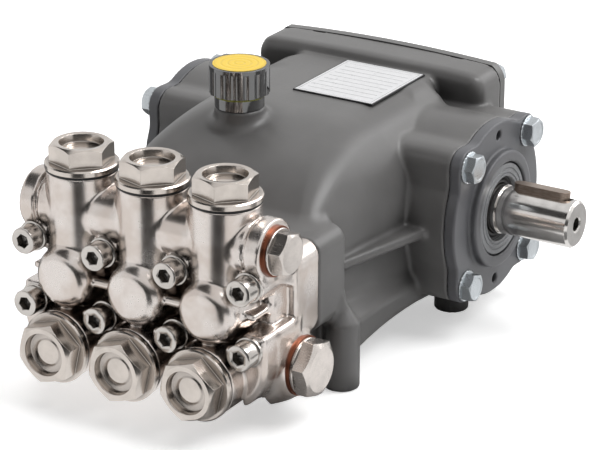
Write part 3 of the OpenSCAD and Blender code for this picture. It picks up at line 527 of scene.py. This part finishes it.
def valve_bodies(room):
    """Three chambers with flat domes, three upright delivery chests and three lying suction chests."""
    chamber_r, chamber_front = 17.0, -180.0
    dome_r, dome_front, dome_root, dome_bulge = 15.2, -192.3, -150.0, 240.0
    chest_r, chest_bottom, suction_r = 17.0, -6.0, 17.3
    y, z = room.y, room.z
    near = from_valve(room.x)
    off = np.hypot(near, z)
    chamber = to_joint(room, meet(off - chamber_r, chamber_front - y, r=4.0))
    dome = np.maximum(meet(off - dome_r, dome_front - y + off ** 2 / dome_bulge, r=6.0), y - dome_root)
    chest = np.maximum(meet(np.hypot(near, y - CHEST_Y) - chest_r, z - CHEST_TOP, r=0.5), chest_bottom - z)
    suction = meet(np.hypot(near, z - SUCTION_Z) - suction_r, SUCTION_FRONT - y, r=0.5)
    bodies = join(join(chamber, dome, r=2.6), chest, r=2.2)
    return join(bodies, np.maximum(suction, y - SUCTION_Y), r=1.6)


def delivery_gallery(room):
    """The tube through the delivery chests, with a groove and a collar at each end."""
    tube_r, tube_end, collar_r, collar_start, collar_end = 13.8, 64.0, 15.0, 58.3, 66.5
    groove_r, groove_deep, groove_x, groove_half = 14.2, 1.0, 57.6, 0.7
    ax, off = room.ax, np.hypot(room.y - CHEST_Y, room.z - DELIVERY_Z)
    tube = np.maximum(off - tube_r, ax - tube_end)
    collar = meet(meet(off - collar_r, ax - collar_end, r=1.0), collar_start - ax, r=1.0)
    groove = np.maximum(np.abs(off - groove_r) - groove_deep, np.abs(ax - groove_x) - groove_half)
    return cut(join(tube, collar, r=0.6), groove, r=0.5)


def back_plate(room):
    """The plate against the crankcase, with its lower edge rounded at the back."""
    low, heel = -26.0, -19.6
    plate = round_rect(room.x, room.z, -FLANGE_HALF, FLANGE_HALF, low, FLANGE_HIGH, FLANGE_CORNER)
    plate = meet(plate, meet(heel - room.z, room.y - JOINT, r=6.0), r=1.2)
    return meet(plate, PLATE_FRONT - room.y, r=1.6)


def deck(room):
    """The shelf above the chambers."""
    low, high, half, front = 7.6, 20.6, 64.0, -177.5
    shelf = meet(between(room.z, low, high), room.ax - half, r=2.0)
    return to_joint(room, meet(shelf, front - room.y, r=2.0))


def suction_block(room):
    """The block round the suction chests, and the part of it that comes forward at each end."""
    low, high, corner, roof, front, wing_x = -48.7, 10.0, 24.0, -8.4, -171.5, 56.0
    outline = round_rect(room.x, room.z, -FLANGE_HALF, FLANGE_HALF, low, high, corner)
    block = meet(outline, room.z - roof, r=1.6)
    inner = np.maximum(meet(block, front - room.y, r=3.0), room.y - SUCTION_Y)
    wing = np.maximum(meet(block, SCREW_SEAT - room.y, r=2.6), room.y - SUCTION_Y)
    return inner, meet(wing, wing_x - room.ax, r=1.0)


def screw_bosses(room):
    """Eight bosses, in two rows and four columns a valve pitch apart."""
    r = 7.2
    off_column = np.abs(np.abs(room.ax - VALVE_PITCH) - VALVE_PITCH / 2.0)
    boss = np.hypot(off_column, np.abs(room.z) - SCREW_ROW) - r
    return to_joint(room, meet(boss, SCREW_SEAT - room.y, r=0.6))


def side_window(room):
    """What shows in the window at each side: the wall behind it, and the thin rib between its hollows."""
    wall_x, wall_front, wall_half = 63.5, -168.4, 9.0
    rib_x, rib_half, rib_front, rib_back = 62.0, 1.5, -181.0, -150.0
    y, z, ax = room.y, room.z, room.ax
    wall = np.maximum(meet(ax - wall_x, wall_front - y, r=3.4), between(z, -wall_half, wall_half))
    rib = np.maximum(meet(ax - rib_x, np.abs(z) - rib_half, r=1.0), rib_front - y)
    return to_joint(room, wall), np.maximum(rib, y - rib_back)


def side_tongue(room):
    """The sloping web above each window."""
    foot_z, slope, outer, inner, top, front, back = 7.6, -0.5, 67.0, 55.0, 24.0, -172.5, -150.0
    y, z, ax = room.y, room.z, room.ax
    tongue = meet(-(z - foot_z) + (y - PLATE_FRONT) * slope, ax - outer, r=1.4)
    tongue = meet(tongue, front - y, r=3.0)
    return np.maximum(np.maximum(tongue, inner - ax), np.maximum(z - top, y - back))


def suction_gallery(room):
    """The gallery under the chests, with a cone down to its seat at each end."""
    r, end, seat_r, seat_slope, seat_root = 16.0, 68.0, 14.6, 0.8, 60.0
    gallery = meet(rod_x(room, SUCTION_Y, SUCTION_Z, r), room.ax - end, r=1.0)
    seat = rod_x(room, SUCTION_Y, SUCTION_Z, seat_r + (GALLERY_END - room.ax) * seat_slope)
    seat = np.maximum(seat, room.ax - GALLERY_END)
    return join(gallery, np.maximum(seat, seat_root - room.ax), r=0.8)


def cross_rib(room):
    """The round rib that runs from dome to dome."""
    rib_y, r = -183.5, 2.5
    return np.maximum(rod_x(room, rib_y, 0.0, r), room.ax - VALVE_PITCH)


def pips(room):
    """A small forged pip beside each dome."""
    off_x, pip_y, pip_z, r = 13.0, -187.0, -15.5, 2.6
    return np.sqrt((from_valve(room.x) - off_x) ** 2 + (room.y - pip_y) ** 2 + (room.z - pip_z) ** 2) - r


def forging_shape(room):
    """The manifold in one skin, with its two ports open at the left end."""
    delivery_port_r, delivery_port_floor = 9.2, -53.0
    suction_port_r, suction_port_floor = 11.2, -54.0
    shape = join(valve_bodies(room), delivery_gallery(room), r=1.2)
    shape = join(shape, back_plate(room), r=3.0)
    shape = join(shape, deck(room), r=2.0)
    inner, wing = suction_block(room)
    shape = join(join(shape, inner, r=1.6), wing, r=1.6)
    shape = join(shape, screw_bosses(room), r=1.4)
    wall, rib = side_window(room)
    shape = join(join(shape, wall, r=1.5), rib, r=2.6)
    shape = join(shape, side_tongue(room), r=1.2)
    shape = join(shape, suction_gallery(room), r=2.2)
    shape = join(shape, cross_rib(room), r=1.2)
    shape = join(shape, pips(room), r=1.2)
    shape = np.maximum(shape, room.y - JOINT)
    delivery_port = rod_x(room, CHEST_Y, DELIVERY_Z, delivery_port_r)
    shape = cut(shape, np.maximum(delivery_port, room.x - delivery_port_floor))
    suction_port = rod_x(room, SUCTION_Y, SUCTION_Z, suction_port_r)
    return cut(shape, np.maximum(suction_port, room.x - suction_port_floor))


def sculpt(name, shape, low, high, voxel):
    """Meshes a shape's surface and moves each point onto it exactly."""
    axes = [np.arange(low[i] - 2 * voxel, high[i] + 2.5 * voxel, voxel, dtype=np.float32) for i in range(3)]
    room = Room(axes[0][:, None, None], axes[1][None, :, None], axes[2][None, None, :])
    field = np.array(np.broadcast_to(shape(room), [len(a) for a in axes]), dtype=np.float32)
    grid = openvdb.FloatGrid()
    grid.copyFromArray(field)
    points, triangles, quads = grid.convertToPolygons(isovalue=0.0, adaptivity=0.0)
    points = np.asarray(points, np.float64) * voxel + np.array([a[0] for a in axes], np.float64)
    step, least_slope = 0.05, 0.3

    def distance(p):
        return shape(Room(p[:, 0], p[:, 1], p[:, 2]))

    def slope(p):
        rises = [distance(p + step * e) - distance(p - step * e) for e in np.eye(3)]
        return np.stack([rise / (2 * step) for rise in rises], axis=1)

    for _ in range(2):
        g = slope(points)
        d = np.clip(distance(points), -voxel, voxel)
        points -= (d / np.maximum((g * g).sum(1), least_slope))[:, None] * g
    points = np.clip(points, np.array(low), np.array(high))
    faces = [tuple(int(i) for i in q) for q in quads] + [tuple(int(i) for i in t) for t in triangles]
    mesh = bpy.data.meshes.new(name)
    mesh.from_pydata(((points + np.array(CRANK)) * MM).tolist(), [], faces)
    mesh.validate()
    work = bmesh.new()
    work.from_mesh(mesh)
    if work.calc_volume(signed=True) < 0:
        bmesh.ops.reverse_faces(work, faces=work.faces)
    work.to_mesh(mesh)
    work.free()
    mesh.shade_smooth()
    return put(name, mesh)


def put(name, mesh):
    """Shows a mesh as an object of that name."""
    piece = bpy.data.objects.new(name, mesh)
    bpy.context.scene.collection.objects.link(piece)
    return piece


# Turned and headed pieces, made standing on their seat and then turned into place

FACE_FRONT = Matrix.Rotation(math.radians(90.0), 4, "X")
FACE_BACK = Matrix.Rotation(math.radians(-90.0), 4, "X")
FACE_RIGHT = Matrix.Rotation(math.radians(90.0), 4, "Y")
FACE_LEFT = Matrix.Rotation(math.radians(-90.0), 4, "Y")
FROM_CRANK = Matrix.Scale(MM, 4) @ Matrix.Translation(CRANK)
MERGE_GAP = 1e-5


def turn_about(degrees):
    """A turn about the axis that a piece stands on."""
    return Matrix.Rotation(math.radians(degrees), 4, "Z")


def from_rings(name, rings, closed=True):
    """A skin through rings of points, each as many points long, closed at both ends if wanted."""
    work = bmesh.new()
    rows = [[work.verts.new(p) for p in ring] for ring in rings]
    count = len(rows[0])
    for lower, upper in zip(rows[:-1], rows[1:]):
        for i in range(count):
            j = (i + 1) % count
            work.faces.new((lower[i], lower[j], upper[j], upper[i]))
    if closed:
        work.faces.new(list(reversed(rows[0])))
        work.faces.new(rows[-1])
    bmesh.ops.recalc_face_normals(work, faces=work.faces)
    mesh = bpy.data.meshes.new(name)
    work.to_mesh(mesh)
    work.free()
    return mesh


def hollow_ring(name, rings):
    """A ring whose last row of points lies on its first, where the two are merged."""
    mesh = from_rings(name, rings, closed=False)
    work = bmesh.new()
    work.from_mesh(mesh)
    bmesh.ops.remove_doubles(work, verts=work.verts, dist=MERGE_GAP)
    bmesh.ops.recalc_face_normals(work, faces=work.faces)
    work.to_mesh(mesh)
    work.free()
    return mesh


def turns(count):
    return [2.0 * math.pi * i / count for i in range(count)]


def circle(r, z, count=72):
    return [(r * math.cos(a), r * math.sin(a), z) for a in turns(count)]


def turned(name, profile, count=96):
    """Turns a closed outline of radius and height pairs into a ring."""
    return hollow_ring(name, [circle(r, z, count) for r, z in profile + profile[:1]])


def hexagon_r(angle, flats):
    """Distance from the middle to a hexagon's side in that direction."""
    sixth = math.pi / 3.0
    return flats / 2.0 / math.cos((angle + sixth / 2.0) % sixth - sixth / 2.0)


def hexagon(flats, z, count=72):
    return [(hexagon_r(a, flats) * math.cos(a), hexagon_r(a, flats) * math.sin(a), z) for a in turns(count)]


def chamfer(flats, top_r, top, count):
    """The edge in which a cone of 30 degrees under a round face cuts a hexagon's sides."""
    edge = []
    for a in turns(count):
        r = hexagon_r(a, flats)
        edge.append((r * math.cos(a), r * math.sin(a), top - (r - top_r) * math.tan(math.radians(30.0))))
    return edge


def valve_cap(name):
    """A forged cap: thin flange, chamfered hexagon, and a round recess with a ringed, slightly domed floor.
    Flange and recess are outlines of radius and height."""
    flats, top, count, edge, root, step, flange_top = 27.0, 12.3, 96, 0.5, 0.3, 0.02, 3.2
    top_r = flats / 2.0 - edge
    flange = [(13.1, 0.0), (17.3, 0.0), (17.7, 0.4), (17.7, 2.5), (17.0, flange_top)]
    recess = [(11.0, top), (10.7, 12.15), (10.5, 11.8), (10.4, 8.9), (10.1, 8.3), (9.5, 8.02), (7.4, 8.0),
              (6.8, 8.1), (6.3, 8.35), (5.8, 8.5), (5.3, 8.47), (4.9, 8.47), (3.6, 8.62), (1.8, 8.72),
              (0.5, 8.74)]
    rings = [circle(r, z, count) for r, z in flange]
    rings += [hexagon(flats + root, flange_top + step, count), hexagon(flats, flange_top + root, count)]
    rings += [chamfer(flats, top_r, top, count), circle(top_r, top, count)]
    rings += [circle(r, z, count) for r, z in recess]
    return from_rings(name, rings)


def hex_head(name, flats, height, top_share=0.95, count=72, dished=False, collar=None):
    """A hexagon head whose corners are chamfered by a cone. It can have a shallow dish in its face, and a
    round collar below, given as radius and thickness."""
    top_r = flats / 2.0 * top_share
    rings = [hexagon(flats, 0.0, count)]
    if collar:
        r, thick = collar
        bevel = 0.3
        rings = [circle(r, 0.0, count), circle(r, thick - bevel, count), circle(r - bevel, thick, count),
                 hexagon(flats, thick, count)]
    rings += [chamfer(flats, top_r, height, count), circle(top_r, height, count)]
    if dished:
        rim, floor_share, deep = 0.86, 0.8, 0.25
        rings += [circle(top_r * rim, height, count), circle(top_r * floor_share, height - deep, count)]
    return from_rings(name, rings)


def washer(name, inner, outer, thickness, teeth=0, count=96):
    """A washer, with teeth round its rim where it has any."""
    tooth_deep, lower_bevel, upper_bevel, upper_drop = 0.2, 0.2, 0.3, 0.25

    def rim(z, r):
        ring = []
        for a in turns(count):
            wave = tooth_deep * math.cos(a * teeth) if teeth else 0.0
            ring.append(((r + wave) * math.cos(a), (r + wave) * math.sin(a), z))
        return ring

    return hollow_ring(name, [
        circle(inner, 0.0, count), rim(0.0, outer - lower_bevel), rim(lower_bevel, outer),
        rim(thickness - upper_drop, outer), rim(thickness, outer - upper_bevel),
        circle(inner, thickness, count), circle(inner, 0.0, count)])


def socket_head(name, r, height, flats, depth, count=72):
    """A socket head screw's head, with its rim rounded and the hexagon sunk in it."""
    bevel, half_bevel, drill_r, drill_deep, lead_in = 0.8, 0.25, 0.8, 0.7, 0.6
    corner_share, land = 1.155, 0.5
    socket_edge = flats / 2.0 * corner_share + land
    rings = [circle(r, 0.0, count), circle(r, height - bevel, count),
             circle(r - half_bevel, height - half_bevel, count), circle(r - bevel, height, count),
             circle(socket_edge, height, count),
             hexagon(flats + half_bevel, height - half_bevel, count), hexagon(flats, height - lead_in, count),
             hexagon(flats, height - depth, count), circle(drill_r, height - depth - drill_deep, count)]
    return from_rings(name, rings)


def on_washer(name, ring, head, thickness, sharp):
    """One mesh of a washer and the head on it, whose edges stay sharp where they bend by more than sharp."""
    head.transform(Matrix.Translation((0, 0, thickness)))
    work = bmesh.new()
    for mesh in (ring, head):
        work.from_mesh(mesh)
    both = bpy.data.meshes.new(name)
    work.to_mesh(both)
    work.free()
    crisp(both, sharp)
    return both


def crisp(mesh, degrees):
    """Smooth shading with sharp edges kept."""
    mesh.shade_smooth()
    mesh.set_sharp_from_angle(angle=math.radians(degrees))


def fastener_tree(name, material):
    """Geometry Nodes: sets one fastener on each point of a mesh, each turned by chance, in millimetres."""
    tree = bpy.data.node_groups.new(name, "GeometryNodeTree")
    tree.interface.new_socket("Geometry", in_out="INPUT", socket_type="NodeSocketGeometry")
    fastener = tree.interface.new_socket("Fastener", in_out="INPUT", socket_type="NodeSocketObject")
    size = tree.interface.new_socket("Size", in_out="INPUT", socket_type="NodeSocketFloat")
    spread = tree.interface.new_socket("Turn spread", in_out="INPUT", socket_type="NodeSocketFloat")
    tree.interface.new_socket("Geometry", in_out="OUTPUT", socket_type="NodeSocketGeometry")
    n = tree.nodes
    start, end = n.new("NodeGroupInput"), n.new("NodeGroupOutput")
    info = n.new("GeometryNodeObjectInfo")
    chance = n.new("FunctionNodeRandomValue")
    chance.inputs["Seed"].default_value = 11
    twist = n.new("ShaderNodeCombineXYZ")
    place = n.new("GeometryNodeInstanceOnPoints")
    real = n.new("GeometryNodeRealizeInstances")
    dress = n.new("GeometryNodeSetMaterial")
    dress.inputs["Material"].default_value = material
    link = tree.links.new
    link(start.outputs["Geometry"], place.inputs["Points"])
    link(start.outputs["Fastener"], info.inputs["Object"])
    link(info.outputs["Geometry"], place.inputs["Instance"])
    link(start.outputs["Turn spread"], chance.inputs[3])
    link(chance.outputs[1], twist.inputs["Z"])
    link(twist.outputs[0], place.inputs["Rotation"])
    link(start.outputs["Size"], place.inputs["Scale"])
    link(place.outputs[0], real.inputs[0])
    link(real.outputs[0], dress.inputs["Geometry"])
    link(dress.outputs[0], end.inputs[0])
    return tree, {"fastener": fastener.identifier, "size": size.identifier, "spread": spread.identifier}


def row_of(name, fastener_mesh, seats, stand, material, body):
    """Sets a fastener on each seat: seats are points in the plane of the pattern, and stand turns that plane
    into place."""
    full_size, full_turn = 1.0, 6.283
    sample = put(name + "_sample", fastener_mesh)
    pattern = bpy.data.meshes.new(name + "_seats")
    pattern.from_pydata([(across, up, 0.0) for across, up in seats], [], [])
    holder = put(name + "_holder", pattern)
    tree, keys = fastener_tree(name + "_rule", material)
    rule = holder.modifiers.new("seats", "NODES")
    rule.node_group = tree
    rule[keys["fastener"]] = sample
    rule[keys["size"]] = full_size
    rule[keys["spread"]] = full_turn
    bpy.context.view_layer.update()
    made = bpy.data.meshes.new_from_object(holder.evaluated_get(bpy.context.evaluated_depsgraph_get()))
    made.name = name
    bpy.data.objects.remove(holder)
    bpy.data.objects.remove(sample)
    made.transform(FROM_CRANK @ stand)
    made.materials.clear()
    made.materials.append(material)
    piece = put(name, made)
    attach(piece, body)
    return piece


# Materials; reach, shade and dull of each plated fitting set how much painted shade darkens its corners
paint = housing_paint("housing_paint", (0.138, 0.135, 0.133), 0.37, 0.02)
cover_paint = housing_paint("cover_paint", (0.118, 0.119, 0.127), 0.38, 0.008, 0.5)
nickel = nickel_forging()
cap_nickel = plated_fitting("plated_cap", (0.68, 0.62, 0.57), rough=0.21, grain=0.008, dull=0.9, reach=9.0,
                            shade=(0.3, 0.9))
plug_nickel = plated_fitting("plated_plug", (0.73, 0.675, 0.635), rough=0.24, grain=0.004, dull=0.8,
                             reach=9.0, edge=0.3, stretch=(0.12, 1.0, 1.0), shade=(0.4, 0.93))
zinc = plated_fitting("zinc_plate", (0.60, 0.635, 0.66), grain=0.003, dull=0.5)
screw_steel = plated_fitting("screw_steel", (0.64, 0.605, 0.57), rough=0.2, grain=0.006, dull=1.0, reach=6.0)
copper = plated_fitting("copper_washer", (0.25, 0.088, 0.05), rough=0.34, grain=0.008, dull=0.5)
shaft_metal = ground_shaft()
key_metal = key_steel()
seal_grey = moulded("seal_rubber", (0.23, 0.235, 0.245), 0.36, grain=0.006)
black_rubber = moulded("black_rubber", (0.016, 0.015, 0.015), 0.5)
black_plastic = moulded("gloss_black_plastic", (0.012, 0.012, 0.013), 0.1, grain=0.002, edge=0.3, ior=2.4)
green_seal = moulded("filler_seal_rubber", (0.33, 0.34, 0.05), 0.4)
yellow_plastic = ringed("filler_disc_yellow", (0.90, 0.62, 0.045), 0.3, FILLER_X + CRANK.x,
                        FILLER_Y + CRANK.y, step=3.3, depth=0.12)
lens_finish = moulded("sight_lens", (0.55, 0.42, 0.12), 0.06, grain=0.001)
plate_white = printed_plate()

NODE_FINISHES = {
    "crankcase": paint, "rear_cover": paint,
    "bearing_cover_right": cover_paint, "bearing_cover_left": cover_paint,
    "sight_glass_ring": zinc, "sight_glass_lens": lens_finish,
    "drain_plug": zinc, "drain_plug_washer": copper,
    "filler_cap": black_plastic, "filler_cap_disc": yellow_plastic, "filler_cap_seal": green_seal,
    "drive_end_bearing": zinc, "shaft_oil_seal": seal_grey,
    "crankshaft": shaft_metal, "shaft_key": key_metal,
    "manifold": nickel, "delivery_cap_seals": black_rubber, "suction_cap_seals": black_rubber,
    "delivery_port_plug": plug_nickel, "suction_port_plug": plug_nickel,
    "delivery_plug_washer": copper, "suction_plug_washer": copper, "nameplate": plate_white,
}
for number in (1, 2, 3):
    NODE_FINISHES[f"delivery_valve_cap_{number}"] = cap_nickel
    NODE_FINISHES[f"suction_valve_cap_{number}"] = cap_nickel
for name, finish in NODE_FINISHES.items():
    node = nodes[name]
    node.data.materials.clear()
    node.data.materials.append(finish)

# Crankcase and manifold
casting = sculpt("crankcase_casting", casting_shape, (-PAD_FACE, JOINT, FLOOR),
                 (PAD_FACE, REAR_FACE, REAR_HIGH), 1.3)
casting.data.materials.append(paint)
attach(casting, "housing")
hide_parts("crankcase")

forging = sculpt("manifold_forging", forging_shape, (-GALLERY_END, SUCTION_FRONT, SUCTION_BOTTOM),
                 (GALLERY_END, JOINT, CHEST_TOP), 0.95)
forging.data.materials.append(nickel)
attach(forging, "housing")
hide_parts("manifold")

# Valve caps, with the turn of each row's hexagons in degrees
DELIVERY_CAP_TURN = 13.5
SUCTION_CAP_TURN = 47.0
for number, across in enumerate(VALVES, 1):
    places = {
        f"delivery_valve_cap_{number}":
            Matrix.Translation((across, CHEST_Y, CHEST_TOP + CAP_SEAL)) @ turn_about(DELIVERY_CAP_TURN),
        f"suction_valve_cap_{number}":
            Matrix.Translation((across, SUCTION_FRONT - CAP_SEAL, SUCTION_Z)) @ FACE_FRONT
            @ turn_about(SUCTION_CAP_TURN),
    }
    for node, place in places.items():
        mesh = valve_cap(node + "_forged")
        mesh.transform(FROM_CRANK @ place)
        crisp(mesh, 28.0)
        mesh.materials.append(cap_nickel)
        cap = put(node + "_forged", mesh)
        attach(cap, "housing")
        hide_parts(node)

# Port plugs: flats, height, seat, turn about the port, share of the flats that the round face takes, and the
# collar that presses on the washer
PLUGS = {
    "delivery_port_plug": (18.8, 8.2, (DELIVERY_END, CHEST_Y, DELIVERY_Z), -15.0, 0.92, (11.2, 1.2)),
    "suction_port_plug": (25.2, 9.4, (SUCTION_END, SUCTION_Y, SUCTION_Z), -14.0, 0.87, (13.8, 1.6)),
}
for node, (flats, height, seat, turn, share, collar) in PLUGS.items():
    mesh = hex_head(node + "_forged", flats, height, share, 96, collar=collar)
    mesh.transform(FROM_CRANK @ Matrix.Translation(seat) @ FACE_RIGHT @ turn_about(turn))
    crisp(mesh, 20.0)
    mesh.materials.append(plug_nickel)
    plug = put(node + "_forged", mesh)
    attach(plug, "housing")
    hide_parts(node)

# Oil seal: the outlines of its case and lip, as radius and height from its face
SEAL_CASE = [(16.6, -4.5), (23.5, -4.5), (23.5, -0.4), (23.1, 0.0), (21.2, 0.0), (20.9, -0.5), (20.3, -0.5),
             (20.0, 0.0), (18.6, 0.0), (18.3, -0.5), (17.8, -0.5), (17.5, 0.0), (16.9, 0.0), (16.6, -0.3)]
SEAL_LIP = [(12.7, -5.0), (16.7, -5.0), (16.7, -2.6), (15.4, -3.1), (14.2, -2.2), (13.2, -2.3), (12.7, -2.9)]
rings = {
    "shaft_seal_case": (seal_grey, "seal_rubber", SEAL_CASE),
    "shaft_seal_lip": (black_rubber, "black_rubber", SEAL_LIP),
}
for name, (finish, slot, profile) in rings.items():
    mesh = turned(name, profile)
    mesh.transform(FROM_CRANK @ Matrix.Translation((SEAL_FACE, 0, 0)) @ FACE_RIGHT)
    crisp(mesh, 30.0)
    mesh.materials.append(finish)
    part = put(name, mesh)
    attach(part, "housing")
    if name == "shaft_seal_case":
        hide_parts("shaft_oil_seal")

# Bearing covers
for side, low, high in (("right", PAD_FACE, COLLAR_FACE), ("left", -COLLAR_FACE, -PAD_FACE)):
    cover = sculpt(f"bearing_cover_{side}_cast", cover_shape, (low, -PAD_R, -PAD_R),
                   (high, PAD_R, PAD_R), 0.95)
    cover.data.materials.append(cover_paint)
    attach(cover, "housing")
    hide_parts(f"bearing_cover_{side}")

# Screws of the manifold
SCREW_WASHER = 1.9
screw_washer = washer("screw_washer", inner=4.2, outer=7.4, thickness=SCREW_WASHER)
screw_head = socket_head("socket_head", r=6.5, height=8.0, flats=6.0, depth=4.2)
screw = on_washer("manifold_screw", screw_washer, screw_head, SCREW_WASHER, sharp=40.0)
seats = [(column, side * SCREW_ROW) for column in SCREW_COLUMNS for side in (-1, 1)]
stand = Matrix.Translation((0, SCREW_SEAT, 0)) @ FACE_FRONT
row_of("manifold_screws", screw, seats, stand, screw_steel, "housing")

# Bolts of the bearing covers
COVER_WASHER = 0.9
serrated = washer("serrated_washer", inner=4.2, outer=8.0, thickness=COVER_WASHER, teeth=24)
bolt_head = hex_head("bolt_head", flats=13.0, height=5.3, dished=True)
bolt = on_washer("cover_bolt", serrated, bolt_head, COVER_WASHER, sharp=30.0)
diagonals = [(2 * quarter + 1) * math.pi / 4 for quarter in range(4)]
seats = [(COVER_BOLT_R * math.cos(a), COVER_BOLT_R * math.sin(a)) for a in diagonals]
for side, face, turned_to in (("right", COVER_FACE, FACE_RIGHT), ("left", -COVER_FACE, FACE_LEFT)):
    stand = Matrix.Translation((face, 0, 0)) @ turned_to
    row_of(f"{side}_cover_bolts", bolt, seats, stand, zinc, "housing")

# Bolts of the rear cover: three down each side, one above and one below the middle
REAR_BOLT_X = 60.0
REAR_BOLT_ROWS = (-39.0, 4.8, 48.6)
REAR_WASHER = 1.0
rear_washer = washer("rear_washer", inner=3.2, outer=5.8, thickness=REAR_WASHER)
rear_head = hex_head("rear_head", flats=10.0, height=4.0)
bolt = on_washer("rear_bolt", rear_washer, rear_head, REAR_WASHER, sharp=30.0)
seats = [(side * REAR_BOLT_X, -z) for side in (-1, 1) for z in REAR_BOLT_ROWS]
seats += [(0.0, -REAR_BOLT_ROWS[0]), (0.0, -REAR_BOLT_ROWS[-1])]
stand = Matrix.Translation((0, REAR_COVER_FACE, 0)) @ FACE_BACK
row_of("rear_cover_bolts", bolt, seats, stand, zinc, "housing")


# Light, in metres

def lamp(name, place, power, size, gleams=False):
    """A square lamp aimed at the pump's middle; only a lamp that gleams shows in shiny surfaces."""
    middle = Vector((0.0, -0.01, 0.06))
    light = bpy.data.lights.new(name, "AREA")
    light.energy = power
    light.size = size
    holder = bpy.data.objects.new(name, light)
    holder.visible_glossy = gleams
    holder.location = place
    holder.rotation_euler = (middle - Vector(place)).to_track_quat("-Z", "Y").to_euler()
    bpy.context.scene.collection.objects.link(holder)


lamp("top_light", (-0.3, 0.3, 1.4), power=10.5, size=1.0)
lamp("front_light", (-0.8, -1.0, 0.8), power=1.2, size=0.8)
lamp("crease_light", (0.75, 1.35, 0.95), power=8.0, size=1.1, gleams=True)
lamp("crest_light", (1.0, 0.4, 1.5), power=17.0, size=0.9, gleams=True)


def card(name, start, end, edges, tone):
    """A card beside the pump, seen only in reflections. It spans the directions from start to end, in degrees
    from the pump's front towards its right, between two edges, each given as distance and height."""
    steps, centre_y = 24, -0.11
    directions = [math.radians(start + (end - start) * i / steps) for i in range(steps + 1)]
    points = [(r * math.sin(a), centre_y - r * math.cos(a), z) for r, z in edges for a in directions]
    row = steps + 1
    faces = [(i, i + 1, row + i + 1, row + i) for i in range(steps)]
    mesh = bpy.data.meshes.new(name)
    mesh.from_pydata(points, [], faces)
    sheet = put(name, mesh)
    mesh.materials.append(Finish(name).surface(Base_Color=(tone, tone, tone, 1.0), Roughness=0.9))
    sheet.visible_camera = sheet.visible_diffuse = sheet.visible_shadow = sheet.visible_transmission = False


def floor_card(name, start, end, inner, outer, tone, lift=0.0006):
    """A card that lies just above the floor."""
    card(name, start, end, ((inner, lift), (outer, lift)), tone)


floor_card("front_card", -4.0, 36.0, 0.15, 1.5, tone=0.02)
floor_card("right_card", 108.0, 130.0, 0.22, 1.2, tone=0.16)
floor_card("under_card", 132.0, 170.0, 0.04, 0.2, tone=0.3)
floor_card("left_card", -150.0, -90.0, 0.12, 1.2, tone=0.16)
floor_card("shaft_end_card", 139.0, 151.0, 0.28, 0.5, tone=0.42, lift=0.0008)
floor_card("low_card", 40.0, 132.0, 0.03, 0.105, tone=0.42)
card("low_wall", -20.0, 80.0, ((1.6, 0.0), (1.6, 0.7)), tone=0.03)
card("high_card", -110.0, -8.0, ((1.0, 0.82), (0.5, 1.25)), tone=0.03)

# The world: white wherever it is seen, mirrored or looked through, and faint as a light
world = bpy.data.worlds.new("studio")
bpy.context.scene.world = world
studio = Finish("studio", world)
FAINT = 0.15
shown = studio.ray("Camera").atleast(studio.ray("Glossy")).atleast(studio.ray("Transmission"))
sky = studio.node("ShaderNodeBackground", None, {"Strength": shown * (1.0 - FAINT) + FAINT})
studio.close("ShaderNodeOutputWorld", sky)

# The floor: pale where it is seen, and a glowing white in reflections
SEEN_GLOW = 0.5
MIRRORED_GLOW = 0.92
FLOOR_HALF = 6
floor_mesh = bpy.data.meshes.new("studio_floor")
corners = [(-FLOOR_HALF, -FLOOR_HALF, 0), (FLOOR_HALF, -FLOOR_HALF, 0), (FLOOR_HALF, FLOOR_HALF, 0),
           (-FLOOR_HALF, FLOOR_HALF, 0)]
floor_mesh.from_pydata(corners, [], [(0, 1, 2, 3)])
floor = put("studio_floor", floor_mesh)
pale = Finish("pale_floor")
seen, mirrored = pale.ray("Camera"), pale.ray("Glossy")
floor_tone = pale.mix(mirrored, (0.93, 0.93, 0.93), (0.0, 0.0, 0.0))
glow = seen * SEEN_GLOW + mirrored * MIRRORED_GLOW
floor_mesh.materials.append(pale.surface(Base_Color=floor_tone, Roughness=0.9,
                                         Emission_Color=(1.0, 1.0, 1.0, 1.0), Emission_Strength=glow))

# The photograph's camera, in metres and degrees
CAMERA_ROLL = 0.15
camera_data = bpy.data.cameras.new("photo_camera")
camera_data.sensor_width = 36.0
camera_data.lens = 166.3
camera_data.clip_end = 20.0
camera = bpy.data.objects.new("photo_camera", camera_data)
eye = Vector((0.6779, -1.1003, 0.5703))
aim = Vector((0.01856, -0.0145, 0.05904))
looking = (aim - eye).to_track_quat("-Z", "Y").to_matrix().to_4x4()
camera.matrix_world = Matrix.Translation(eye) @ looking @ turn_about(CAMERA_ROLL)
bpy.context.scene.collection.objects.link(camera)
bpy.context.scene.camera = camera
bpy.context.scene.view_settings.view_transform = "Standard"
